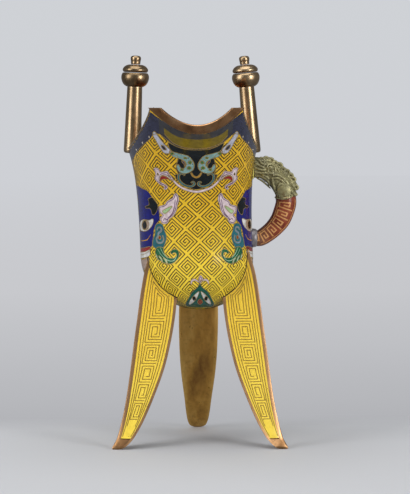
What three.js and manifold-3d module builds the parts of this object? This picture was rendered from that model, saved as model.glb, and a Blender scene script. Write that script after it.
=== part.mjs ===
// A jue: a three-legged wine vessel in cloisonne enamel on gilt copper.
// Millimetres, +Z up. The spout points to -Y, the tail to +Y and the handle to +X.
import * as THREE from 'three';
import { mergeVertices } from 'three/addons/utils/BufferGeometryUtils.js';
import Module from 'manifold-3d';

// Gap between pieces that are brazed or soldered together, and under what sits on a slanted edge
const gap = 0.3;
const seatGap = 0.5;

// Bowl: heights above the table, and half sizes from the bowl's axis
const bowlBottomZ = 80.8;
const bellyZ = 112;
const saddleZ = 177;
const tailZ = 187;
const lipLowZ = 189.6;
const hornZ = 203.6;
const bellyHalfX = 33.8;
const bellyHalfY = 36;
const rimHalfWidth = 38.4;
const spoutHalfWidth = 26.3;
const spoutReach = 88;
const tailReach = 82;
const tailTipHalf = 9;
const saddleY = -2;
const leanAtRim = 4.3;

// Wall of the bowl: the enamel coat outside, the copper shell inside it
const enamelThickness = 0.9;
const copperThickness = 1.6;
const coatGap = 0.45;

// Gilt strip on the mouth's edge, and the thick lip that closes the spout
const bandHeight = 1.5;
const bandOverhang = 0.3;
const lipThickness = 3;
const lipWidth = 4.4;
const lipEndWidth = 6.8;

// Legs
const footReach = 61.5;
const legWidth = 24;
const legDepth = 19.6;
const legTopZ = 119;
const panelLowZ = 6;
const panelRecess = 1.1;
const panelEdge = 2;
const panelRidgeStrip = 2.6;
const legAngles = { left: 208.4, right: 328.4, rear: 88.4 };

// Posts
const postHalfSpan = 36;
const postY = -4;
const postTilts = { left: 2.3, right: 5 };
const stemBottomZ = 175.2;
const stemTopZ = 214.6;
const stemBottomRadius = 5.2;
const stemTopRadius = 4.5;
const lowerBeadRadius = 8.3;
const lowerBeadHeight = 8.4;
const upperBeadRadius = 7.6;
const upperBeadHeight = 4.6;
const buttonRadius = 3.1;
const buttonHeight = 5.2;
const shankRadius = 1.6;
const shankDepth = 8;

// Handle: centre lines in the XZ plane, from the bowl outwards
const handleFootZ = 123.7;
const handleReach = 55.4;
const headTubeZ = 148.3;
const headRootZ = 166.4;
const collarRadius = 5.7;
const collarLength = 3;

// Derived sizes
const wallThickness = enamelThickness + coatGap + copperThickness;
const spoutEndY = -(spoutReach - lipThickness - gap);
const wallHornZ = hornZ - bandHeight - gap;
const hornAngle = 28;

const wasm = await Module();
wasm.setup();

const finishes = {
  gilt: { color: 0xb98a4a, roughness: 0.35, metalness: 1 },
  copper: { color: 0xa9774a, roughness: 0.45, metalness: 1 },
  bronze: { color: 0x4f6a5c, roughness: 0.5, metalness: 0.7 },
  yellowEnamel: { color: 0xd6a024, roughness: 0.25, metalness: 0 },
  redEnamel: { color: 0x8e3b26, roughness: 0.3, metalness: 0 },
};

// A closed body from points and triangles, turned so that its faces point out.
function bodyFrom(points, index) {
  let volume = 0;
  for (let i = 0; i < index.length; i += 3) {
    const [a, b, c] = [points[index[i]], points[index[i + 1]], points[index[i + 2]]];
    volume += a.dot(b.clone().cross(c));
  }
  const order = volume < 0 ? index.toReversed() : index;
  const geometry = new THREE.BufferGeometry().setFromPoints(points);
  geometry.setIndex(order);
  return geometry;
}

// Rings of equal count joined one to the next, with a flat fan over each end.
function ringBody(rings) {
  const count = rings[0].length;
  const points = rings.flat();
  const index = [];
  for (let i = 0; i < rings.length - 1; i++) {
    for (let j = 0; j < count; j++) {
      const low = i * count + j;
      const lowNext = i * count + ((j + 1) % count);
      index.push(low, lowNext, lowNext + count);
      index.push(low, lowNext + count, low + count);
    }
  }
  const last = (rings.length - 1) * count;
  const startCentre = points.push(middle(rings[0])) - 1;
  const endCentre = points.push(middle(rings.at(-1))) - 1;
  for (let j = 0; j < count; j++) {
    const next = (j + 1) % count;
    index.push(startCentre, next, j);
    index.push(endCentre, last + j, last + next);
  }
  return bodyFrom(points, index);
}

function middle(ring) {
  const sum = new THREE.Vector3();
  ring.forEach((point) => sum.add(point));
  return sum.divideScalar(ring.length);
}

// Smooth value at a place along a short list of [place, value] pairs.
function smooth(list, place) {
  const last = list.length - 1;
  if (place <= list[0][0]) return list[0][1];
  if (place >= list[last][0]) return list[last][1];
  const i = list.findIndex((pair) => pair[0] > place) - 1;
  const slope = (k) => {
    const a = list[Math.max(k - 1, 0)];
    const b = list[Math.min(k + 1, last)];
    return (b[1] - a[1]) / (b[0] - a[0]);
  };
  const span = list[i + 1][0] - list[i][0];
  const t = (place - list[i][0]) / span;
  const rise = 3 * t * t - 2 * t * t * t;
  const bend = span * (t - 2 * t * t + t * t * t) * slope(i);
  const bendNext = span * (t * t * t - t * t) * slope(i + 1);
  return list[i][1] * (1 - rise) + list[i + 1][1] * rise + bend + bendNext;
}

function toSolid(geometry) {
  const bare = geometry.clone();
  bare.deleteAttribute('normal');
  bare.deleteAttribute('uv');
  const merged = mergeVertices(bare, 1e-4);
  return new wasm.Manifold(new wasm.Mesh({
    numProp: 3,
    vertProperties: new Float32Array(merged.attributes.position.array),
    triVerts: new Uint32Array(merged.index.array),
  }));
}

function fromSolid(solid) {
  const mesh = solid.getMesh();
  const geometry = new THREE.BufferGeometry();
  geometry.setAttribute('position', new THREE.BufferAttribute(mesh.vertProperties, 3));
  geometry.setIndex(new THREE.BufferAttribute(mesh.triVerts, 1));
  return geometry;
}

function cut(geometry, tool) {
  return fromSolid(toSolid(geometry).subtract(toSolid(tool)));
}

function join(geometries) {
  return fromSolid(geometries.map(toSolid).reduce((a, b) => a.add(b)));
}

// The bowl leans a little to one side above its bottom, as the hand-made piece does.
function leanShift(z) {
  return -leanAtRim * Math.max(z - bowlBottomZ, 0) / (saddleZ - bowlBottomZ);
}

function leanOver(geometry) {
  const position = geometry.attributes.position;
  for (let i = 0; i < position.count; i++) {
    position.setX(i, position.getX(i) + leanShift(position.getZ(i)));
  }
  return geometry;
}

// Edge of the mouth on the handle's side: the lip's middle to the horn, then to the tail.
const horn = new THREE.Vector3(spoutHalfWidth, spoutEndY, wallHornZ);
const saddle = new THREE.Vector3(rimHalfWidth, saddleY, saddleZ);
const tailTip = new THREE.Vector3(0, tailReach, tailZ);
const lipLine = new THREE.QuadraticBezierCurve3(
  new THREE.Vector3(0, spoutEndY, lipLowZ),
  new THREE.Vector3(spoutHalfWidth / 2, spoutEndY, lipLowZ),
  horn,
);
const spoutEdge = new THREE.CubicBezierCurve3(
  horn,
  new THREE.Vector3(
    THREE.MathUtils.lerp(horn.x, saddle.x, 0.13),
    THREE.MathUtils.lerp(horn.y, saddle.y, 0.2),
    THREE.MathUtils.lerp(horn.z, saddle.z, 0.35),
  ),
  new THREE.Vector3(saddle.x, THREE.MathUtils.lerp(saddle.y, horn.y, 0.4), saddle.z),
  saddle,
);
const tailEdge = new THREE.CubicBezierCurve3(
  saddle,
  new THREE.Vector3(saddle.x, THREE.MathUtils.lerp(saddle.y, tailTip.y, 0.38), saddle.z),
  new THREE.Vector3(tailTipHalf, tailTip.y, THREE.MathUtils.lerp(saddle.z, tailTip.z, 0.65)),
  tailTip,
);

// A column is an upright line of the wall. Its angle runs from 0 at the spout's middle to
// 180 at the tail, and is negative on the side without the handle.
function rimPoint(angle) {
  const turn = Math.abs(angle);
  let point;
  if (turn <= hornAngle) {
    point = lipLine.getPoint(turn / hornAngle);
  } else if (turn <= 90) {
    point = spoutEdge.getPoint((turn - hornAngle) / (90 - hornAngle));
  } else {
    point = tailEdge.getPoint((turn - 90) / 90);
  }
  point.x *= Math.sign(angle) || 1;
  return point;
}

// Point of the outer wall. Level 0 is the bottom, 1 the belly and 2 the mouth's edge.
function wallPoint(anyAngle, level) {
  const angle = THREE.MathUtils.euclideanModulo(anyAngle + 180, 360) - 180;
  const turn = THREE.MathUtils.degToRad(angle);
  const belly = new THREE.Vector3(bellyHalfX * Math.sin(turn), -bellyHalfY * Math.cos(turn), bellyZ);
  if (level <= 1) {
    const rise = level * Math.PI / 2;
    belly.x *= Math.sin(rise);
    belly.y *= Math.sin(rise);
    belly.z -= (bellyZ - bowlBottomZ) * Math.cos(rise);
    return belly;
  }
  const rim = rimPoint(angle);
  const forward = -Math.cos(turn);
  const sideways = (rimHalfWidth - bellyHalfX) * 3.5 * (1 - Math.abs(forward)) * Math.sign(Math.sin(turn));
  const reach = Math.abs(rim.y) - bellyHalfY * Math.abs(forward);
  const start = new THREE.Vector3(0, 0, (rim.z - bellyZ) * (1 + 0.35 * Math.abs(forward)));
  const end = new THREE.Vector3(sideways, forward * Math.max(reach, 0) * 2, (rim.z - bellyZ) * 0.75);
  return hermite(belly, start, rim, end, level - 1);
}

function hermite(from, fromPull, to, toPull, t) {
  const rise = 3 * t * t - 2 * t * t * t;
  return new THREE.Vector3()
    .addScaledVector(from, 1 - rise)
    .addScaledVector(fromPull, t - 2 * t * t + t * t * t)
    .addScaledVector(to, rise)
    .addScaledVector(toPull, t * t * t - t * t);
}

function wallNormal(angle, level) {
  const step = 0.5;
  const around = wallPoint(angle + step, level).sub(wallPoint(angle - step, level));
  const up = wallPoint(angle, Math.min(level + 0.02, 2)).sub(wallPoint(angle, level - 0.02));
  return around.cross(up).normalize();
}

// Point of the wall at a depth under its outer surface. At the mouth the edge is level
// along the sides, and upright in the plane of the spout's end.
function wallPointUnder(angle, level, depth) {
  const point = wallPoint(angle, level);
  const normal = wallNormal(angle, level);
  if (level === 2) {
    if (Math.abs(angle) < hornAngle) normal.y = 0;
    else normal.z = 0;
    if (Math.abs(angle) === hornAngle) normal.y = 0;
    normal.normalize();
  }
  return point.addScaledVector(normal, -depth);
}

function rangeOf(from, to, steps) {
  return Array.from({ length: steps }, (_, i) => from + (to - from) * i / steps);
}

const halfAngles = [
  ...rangeOf(0, hornAngle, 5),
  ...rangeOf(hornAngle, 90, 7),
  ...rangeOf(90, 180, 10),
];
const wallAngles = [
  ...halfAngles,
  180,
  ...halfAngles.slice(1).toReversed().map((angle) => -angle),
];
const wallLevels = [...rangeOf(0.22, 1, 5), ...rangeOf(1, 2, 9), 2];

function wallRing(level, depth, lift) {
  return wallAngles.map((angle) => {
    const point = wallPointUnder(angle, level, depth);
    if (level === 2) point.z += lift;
    return point;
  });
}

// One layer of the wall, closed at the bottom and open at the mouth.
function wallLayer(outerDepth, innerDepth, lift = 0) {
  const outside = wallLevels.map((level) => wallRing(level, outerDepth, lift));
  const inside = wallLevels.toReversed().map((level) => wallRing(level, innerDepth, lift));
  return leanOver(ringBody([...outside, ...inside]));
}

// The bowl's outer form as a full block, grown by the gap, to cut what is fixed to it.
function bowlBlock() {
  return leanOver(ringBody(wallLevels.map((level) => wallRing(level, -gap, gap))));
}

function rimBand(grow = 0) {
  const from = wallAngles.indexOf(hornAngle);
  const to = wallAngles.indexOf(-hornAngle);
  const rings = wallAngles.slice(from, to + 1).map((angle) => {
    const outer = wallPointUnder(angle, 2, -bandOverhang - grow);
    const inner = wallPointUnder(angle, 2, wallThickness + bandOverhang + grow);
    const up = (point, rise) => point.clone().setZ(point.z + rise);
    const low = seatGap - grow;
    const top = gap + bandHeight + grow;
    return [up(outer, low), up(outer, top), up(inner, top), up(inner, low)];
  });
  return leanOver(ringBody(rings));
}

function spoutLip() {
  const edge = spoutHalfWidth + bandOverhang;
  const innerEdge = edge - lipEndWidth;
  const innerLowZ = lipLowZ + lipWidth;
  const shape = new THREE.Shape();
  shape.moveTo(-edge, hornZ);
  shape.quadraticCurveTo(0, 2 * lipLowZ - hornZ, edge, hornZ);
  shape.lineTo(innerEdge, hornZ);
  shape.quadraticCurveTo(0, 2 * innerLowZ - hornZ, -innerEdge, hornZ);
  shape.closePath();
  const bevel = 0.6;
  const options = {
    depth: lipThickness - 2 * bevel,
    curveSegments: 14,
    bevelThickness: bevel,
    bevelSize: bevel,
    bevelOffset: -bevel,
    bevelSegments: 2,
  };
  const lip = new THREE.ExtrudeGeometry(shape, options);
  lip.rotateX(Math.PI / 2);
  lip.translate(0, -spoutReach + lipThickness - bevel, 0);
  return leanOver(lip);
}

// Leg: shares of the height under the bowl, and shares of the full size there.
const ridgeLine = [[0, 1], [0.09, 0.84], [0.35, 0.635], [0.89, 0.38], [1.27, 0.19], [1.47, 0]];
const widthLine = [[0, 0.26], [0.025, 0.46], [0.1, 0.6], [0.25, 0.72], [0.48, 0.91], [0.7, 1], [1.5, 1]];
const depthLine = [[0, 0.3], [0.09, 0.41], [0.2, 0.54], [0.42, 0.73], [0.6, 0.88], [0.8, 0.97], [1, 1]];

function legSizes(z) {
  const share = z / bowlBottomZ;
  const ridge = bellyHalfX + (footReach - bellyHalfX) * smooth(ridgeLine, share);
  const depth = legDepth * smooth(depthLine, share);
  return { back: ridge - depth, depth, half: legWidth * smooth(widthLine, share) / 2 };
}

// Point on a leg's enamelled face: run is the distance from its outer edge towards the
// ridge, and sink the depth under the face. Side is 1 or -1.
function facePoint(z, side, run, sink) {
  const { back, depth, half } = legSizes(z);
  const length = Math.hypot(depth, half);
  const across = side * (half - run * half / length - sink * depth / length);
  const out = back + run * depth / length - sink * half / length;
  return new THREE.Vector3(across, out, z);
}

function faceLength(z) {
  const { depth, half } = legSizes(z);
  return Math.hypot(depth, half);
}

function legRing(z) {
  const recess = z < panelLowZ + gap ? 0 : panelRecess;
  const face = (side) => {
    const far = faceLength(z) - panelRidgeStrip;
    const near = Math.min(panelEdge, far / 2);
    return [
      facePoint(z, side, 0, 0),
      facePoint(z, side, near, 0),
      facePoint(z, side, near, recess),
      facePoint(z, side, far, recess),
      facePoint(z, side, far, 0),
    ];
  };
  const ridge = facePoint(z, 1, faceLength(z), 0);
  return [...face(1), ridge, ...face(-1).toReversed()];
}

function panelRing(z, side) {
  const far = faceLength(z) - panelRidgeStrip - gap;
  const near = Math.min(panelEdge, far / 2) + gap;
  return [
    facePoint(z, side, near, 0),
    facePoint(z, side, far, 0),
    facePoint(z, side, far, panelRecess - gap),
    facePoint(z, side, near, panelRecess - gap),
  ];
}

function legHeights(from, steps) {
  return Array.from({ length: steps + 1 }, (_, i) => from + (legTopZ - from) * (i / steps) ** 1.2);
}

// Turns a body made with its outward side along +Y to stand at an angle round the bowl.
function atAngle(geometry, angle) {
  return geometry.rotateZ(THREE.MathUtils.degToRad(angle - 90));
}

function legCore(angle, block) {
  const heights = [0, 0.8, 2, 4.5, panelLowZ - gap, ...legHeights(panelLowZ + gap, 10)];
  return cut(atAngle(ringBody(heights.map(legRing)), angle), block);
}

function legPanel(angle, side, block) {
  const heights = legHeights(panelLowZ + 2 * gap, 10);
  return cut(atAngle(ringBody(heights.map((z) => panelRing(z, side))), angle), block);
}

// Turned bodies: a profile of [radius, height] pairs round the Z axis.
function turned(profile, sides = 20) {
  const points = profile.map(([radius, height]) => new THREE.Vector2(radius, height));
  const merged = mergeVertices(stripped(new THREE.LatheGeometry(points, sides)), 1e-4);
  merged.rotateX(Math.PI / 2);
  return merged;
}

function stripped(geometry) {
  geometry.deleteAttribute('normal');
  geometry.deleteAttribute('uv');
  return geometry;
}

const boreRadius = shankRadius + gap;

function stemShape() {
  const height = stemTopZ - stemBottomZ;
  return turned([
    [0, 0],
    [stemBottomRadius * 0.6, 0],
    [stemBottomRadius * 0.9, 0.9],
    [stemBottomRadius, 2.6],
    [stemTopRadius, height],
    [boreRadius, height],
    [boreRadius, height - shankDepth - gap],
    [0, height - shankDepth - gap],
  ]);
}

// The lower bead is a bulb that grows out of the stem, and the upper one a domed cap.
function lowerBead() {
  const [radius, height] = [lowerBeadRadius, lowerBeadHeight];
  return turned([
    [boreRadius, 0],
    [radius * 0.62, 0],
    [radius * 0.86, height * 0.2],
    [radius * 0.98, height * 0.45],
    [radius, height * 0.65],
    [radius * 0.97, height * 0.88],
    [radius * 0.91, height],
    [boreRadius, height],
    [boreRadius, 0],
  ]);
}

function upperBead() {
  const [radius, height] = [upperBeadRadius, upperBeadHeight];
  return turned([
    [boreRadius, 0],
    [radius * 0.93, 0],
    [radius, height * 0.22],
    [radius * 0.97, height * 0.5],
    [radius * 0.8, height * 0.82],
    [radius * 0.55, height],
    [boreRadius, height],
    [boreRadius, 0],
  ]);
}

function finialShape(shank) {
  return turned([
    [0, -shank],
    [shankRadius, -shank],
    [shankRadius, 0],
    [buttonRadius * 0.9, 0],
    [buttonRadius * 0.94, buttonHeight * 0.5],
    [buttonRadius, buttonHeight * 0.72],
    [buttonRadius * 0.72, buttonHeight],
    [0, buttonHeight],
  ]);
}

function piece(name, geometry, finish) {
  const mesh = new THREE.Mesh(geometry, new THREE.MeshStandardMaterial(finishes[finish]));
  mesh.name = name;
  return mesh;
}

// One post. Its foot is slotted over the wall, and a shank holds the beads on its stem.
function post(name, side, tilt) {
  const group = new THREE.Group();
  group.position.set(side * postHalfSpan + leanShift(saddleZ), postY, stemBottomZ);
  group.rotation.y = THREE.MathUtils.degToRad(-side * tilt);
  group.updateMatrixWorld();
  const slot = join([wallLayer(-gap, wallThickness + gap, gap), rimBand(gap)]);
  slot.applyMatrix4(group.matrixWorld.clone().invert());
  const stem = piece(`${name}_stem`, cut(stemShape(), slot), 'gilt');
  const lower = piece(`${name}_bead_lower`, lowerBead(), 'gilt');
  lower.position.z = stemTopZ - stemBottomZ + gap;
  const upper = piece(`${name}_bead_upper`, upperBead(), 'gilt');
  upper.position.z = lower.position.z + lowerBeadHeight + gap;
  const shank = lowerBeadHeight + upperBeadHeight + shankDepth + 2 * gap;
  const finial = piece(`${name}_finial`, finialShape(shank), 'gilt');
  finial.position.z = upper.position.z + upperBeadHeight + gap;
  group.add(stem, lower, upper, finial);
  return group;
}

// A round bar along a path in the XZ plane, with its own thickness and width at each place.
function bar(path, thickness, width, steps, sides = 14) {
  const rings = [];
  for (let i = 0; i <= steps; i++) {
    const centre = path.getPoint(i / steps);
    const along = path.getTangent(i / steps);
    const across = new THREE.Vector3(-along.z, 0, along.x);
    const high = smooth(thickness, i / steps) / 2;
    const wide = smooth(width, i / steps) / 2;
    rings.push(Array.from({ length: sides }, (_, k) => {
      const turn = 2 * Math.PI * k / sides;
      const point = centre.clone().addScaledVector(across, high * Math.cos(turn));
      point.y += wide * Math.sin(turn);
      return point;
    }));
  }
  return ringBody(rings);
}

function pathXZ(places) {
  return new THREE.CatmullRomCurve3(places.map(([x, z]) => new THREE.Vector3(x, 0, z)));
}

function handleTube(block) {
  const foot = bellyHalfX + seatGap + collarLength;
  const reach = (share) => THREE.MathUtils.lerp(foot, handleReach, share);
  const path = pathXZ([
    [foot, handleFootZ],
    [reach(0.1), handleFootZ + 0.1],
    [reach(0.45), handleFootZ + 4.3],
    [reach(0.71), handleFootZ + 9.2],
    [reach(0.85), handleFootZ + 13.4],
    [reach(0.99), handleFootZ + 20.6],
    [reach(0.99), headTubeZ - gap],
  ]);
  const thickness = [[0, 9.6], [0.35, 10.6], [0.65, 12.2], [1, 12.6]];
  const width = [[0, 9.4], [0.4, 10.2], [1, 12]];
  return cut(leanOver(bar(path, thickness, width, 14)), block);
}

function handleCollar(block) {
  const collar = turned([
    [0, -3],
    [collarRadius, -3],
    [collarRadius, collarLength - 0.8],
    [collarRadius - 0.8, collarLength - gap],
    [0, collarLength - gap],
  ], 18);
  collar.rotateY(Math.PI / 2);
  collar.translate(bellyHalfX + gap, 0, handleFootZ);
  return cut(leanOver(collar), block);
}

// A curl or eye of the head: a flat drum whose axis runs along Y.
function drum(x, z, radius, width, sides = 12) {
  const disc = turned([[0, 0], [radius * 0.8, 0], [radius, width * 0.2], [radius, width * 0.8],
    [radius * 0.8, width], [0, width]], sides);
  disc.rotateX(Math.PI / 2);
  disc.translate(x, width / 2, z);
  return disc;
}

// The head is one casting: neck, crest of curls, snout, jaw, brows and cheeks.
function handleHead(block) {
  const along = (share, drop) => [
    THREE.MathUtils.lerp(bellyHalfX, handleReach, share),
    THREE.MathUtils.lerp(headRootZ, headTubeZ, drop),
  ];
  const neck = pathXZ([
    along(-0.14, 0),
    along(0.35, 0.03),
    along(0.57, 0.17),
    along(0.77, 0.4),
    along(0.91, 0.66),
    along(0.99, 0.88),
    along(0.99, 1),
  ]);
  const thickness = [[0, 13.2], [0.35, 13.2], [0.7, 12.8], [1, 12.8]];
  const width = [[0, 9], [0.35, 9.6], [0.75, 12.4], [1, 12.2]];
  const crest = [
    drum(...along(0.39, -0.25), 2.4, 4.6),
    drum(...along(0.64, -0.22), 2.6, 4.6),
    drum(...along(0.89, 0.02), 2.7, 4.6),
    drum(...along(1.05, 0.22), 2.7, 4.6),
    drum(...along(1.19, 0.42), 2.6, 4.6),
  ];
  const snout = drum(...along(1.26, 0.69), 2.8, 8.4);
  const jaw = drum(...along(1.27, 0.87), 2.1, 8);
  const brows = drum(...along(0.63, 0.06), 2.5, 12.6);
  const cheeks = drum(...along(0.95, 0.76), 3.2, 13.6);
  const head = join([bar(neck, thickness, width, 12), ...crest, snout, jaw, brows, cheeks]);
  return cut(leanOver(head), block);
}

function legs(block) {
  const group = new THREE.Group();
  for (const [place, angle] of Object.entries(legAngles)) {
    group.add(piece(`leg_${place}`, legCore(angle, block), 'gilt'));
    group.add(piece(`leg_${place}_enamel_a`, legPanel(angle, 1, block), 'yellowEnamel'));
    group.add(piece(`leg_${place}_enamel_b`, legPanel(angle, -1, block), 'yellowEnamel'));
  }
  return group;
}

function handle(block) {
  const group = new THREE.Group();
  group.add(piece('handle_tube', handleTube(block), 'redEnamel'));
  group.add(piece('handle_collar', handleCollar(block), 'gilt'));
  group.add(piece('handle_head', handleHead(block), 'bronze'));
  return group;
}

function vessel() {
  const block = bowlBlock();
  const group = new THREE.Group();
  group.add(piece('body_shell', wallLayer(enamelThickness + coatGap, wallThickness), 'copper'));
  group.add(piece('body_enamel', wallLayer(0, enamelThickness), 'yellowEnamel'));
  group.add(piece('rim_band', rimBand(), 'gilt'));
  group.add(piece('spout_lip', spoutLip(), 'gilt'));
  group.add(legs(block), handle(block));
  group.add(post('post_left', -1, postTilts.left), post('post_right', 1, postTilts.right));
  return group;
}

// The part's origin is under the middle of its box, on the table.
const part = vessel();
part.updateMatrixWorld(true);
const box = new THREE.Box3().setFromObject(part, true);
part.position.set(-(box.min.x + box.max.x) / 2, -(box.min.y + box.max.y) / 2, -box.min.z);

export default part;
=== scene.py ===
import math

import bmesh
import bpy
import numpy as np
from mathutils import Matrix, Vector, geometry, noise


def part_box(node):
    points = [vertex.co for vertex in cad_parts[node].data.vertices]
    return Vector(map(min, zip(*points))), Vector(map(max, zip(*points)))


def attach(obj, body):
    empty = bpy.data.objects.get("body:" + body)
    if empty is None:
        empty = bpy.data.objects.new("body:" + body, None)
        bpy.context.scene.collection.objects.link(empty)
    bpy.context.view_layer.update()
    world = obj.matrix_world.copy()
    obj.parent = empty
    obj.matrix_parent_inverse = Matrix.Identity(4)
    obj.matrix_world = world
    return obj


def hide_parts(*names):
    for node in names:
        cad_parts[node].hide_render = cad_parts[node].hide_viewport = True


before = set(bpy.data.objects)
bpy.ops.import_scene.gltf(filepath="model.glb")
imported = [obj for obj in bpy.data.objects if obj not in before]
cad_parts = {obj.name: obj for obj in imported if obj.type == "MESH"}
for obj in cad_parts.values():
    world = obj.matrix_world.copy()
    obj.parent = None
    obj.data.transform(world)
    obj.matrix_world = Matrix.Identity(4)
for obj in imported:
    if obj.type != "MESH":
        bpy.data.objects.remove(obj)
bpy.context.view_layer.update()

bl_info = {
    "name": "Cloisonne jue",
    "version": (1, 0, 0),
    "blender": (4, 5, 0),
    "location": "View3D > Sidebar > Jue",
    "description": "Builds the enamelled bowl, legs, posts and handle of a three-legged wine vessel",
    "category": "Object",
}

# Everything below is in millimetres in the maker's frame: the bowl's axis at the origin, the
# spout towards -Y and the handle towards +X. OFFSET takes it to the part's frame.
# Bowl
BOTTOM_Z = 80.8
BELLY_Z = 112.0
BELLY_X, BELLY_Y = 33.8, 36.0
RIM_HALF = 38.4
LEAN_AT_RIM = 4.3
HORN = np.array([26.3, -84.7, 201.8])
SADDLE = np.array([38.4, -2.0, 177.0])
TAIL = np.array([0.0, 82.0, 187.0])
LIP_LOW_Z = 189.6
HORN_TOP_Z = 203.6
HORN_ANGLE = 28
SPOUT_REACH = 88.0
LEAN_AT_LIP = LEAN_AT_RIM * (HORN_TOP_Z - BOTTOM_Z) / (SADDLE[2] - BOTTOM_Z)
LIP_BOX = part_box("spout_lip")
OFFSET = np.array([
    (LIP_BOX[0].x + LIP_BOX[1].x) * 500 + LEAN_AT_LIP,
    LIP_BOX[0].y * 1000 + SPOUT_REACH,
    0.0,
])
ENAMEL = 0.9
COPPER_OUT, COPPER_IN = 1.35, 2.95
# In the flat drawing heights are from the belly, and under it they follow the curve of the bottom
BOTTOM_ARC = (BELLY_Z - BOTTOM_Z) * math.pi / 2
DRAWING_LOW = -48.0
DRAWING_HIGH = 94.0
ROUND = 216.8
MM_PER_DEGREE = ROUND / 360

# Wires stand a little proud of the polished enamel
WIRE_SINK = 0.15

# Legs
LEG_ANGLES = {"left": 208.4, "right": 328.4, "rear": 88.4}
LEG_TOP = 119.0
PANEL_LOW = 6.6
RIDGE_LINE = [(0, 1), (0.09, 0.84), (0.35, 0.635), (0.89, 0.38), (1.27, 0.19), (1.47, 0)]
WIDTH_LINE = [(0, 0.26), (0.025, 0.46), (0.1, 0.6), (0.25, 0.72), (0.48, 0.91), (0.7, 1), (1.02, 1),
              (1.25, 0.8), (1.5, 0.72)]
DEPTH_LINE = [(0, 0.3), (0.09, 0.41), (0.2, 0.54), (0.42, 0.73), (0.6, 0.88), (0.8, 0.97), (1, 1)]
FOOT_REACH = 61.5
LEG_WIDTH = 24.0
LEG_DEPTH = 19.6
PANEL_EDGE = 2.0
RIDGE_STRIP = 2.6
PANEL_RECESS = 1.1
# Heights where one key spiral on a leg ends and the next begins
LEG_CELLS = [17, 28, 39, 50, 62.5, 76.5, 112]

# Handle
HANDLE_FOOT_Z = 123.7
HANDLE_REACH = 55.4
HEAD_TUBE_Z = 148.3
HEAD_ROOT_Z = 166.4

# Colours of the enamels in the ornament, as they look in daylight, except the grey and the dark yellow on the front
# under the lip, which are painted shadow and painted shade
ENAMELS = {
    "navy": (50, 52, 74),
    # Painted shadow: grey on the collar's front, where the lip's shadow falls
    "lip_shadow_grey": (62, 62, 66),
    # Painted shade: yellow enamel under the lip, darkened to the olive it shows in shade
    "shade_darkened_yellow": (128, 108, 26),
    "ink": (20, 27, 30),
    "lilac": (198, 198, 210),
    "sea": (138, 176, 172),
    "leaf": (74, 122, 62),
    "royal": (26, 30, 116),
    "gold": (206, 148, 52),
    "teal": (48, 112, 122),
    "pink": (226, 206, 208),
    "brick": (152, 42, 40),
    "white": (226, 224, 218),
    "coal": (16, 16, 18),
    "pale_leaf": (176, 206, 150),
    "sky": (112, 168, 210),
    "forest": (34, 96, 82),
    "rust": (150, 74, 40),
    "claw": (184, 220, 186),
    "fern": (44, 104, 70),
    "plum": (92, 46, 92),
    "sand": (176, 152, 136),
}

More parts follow.
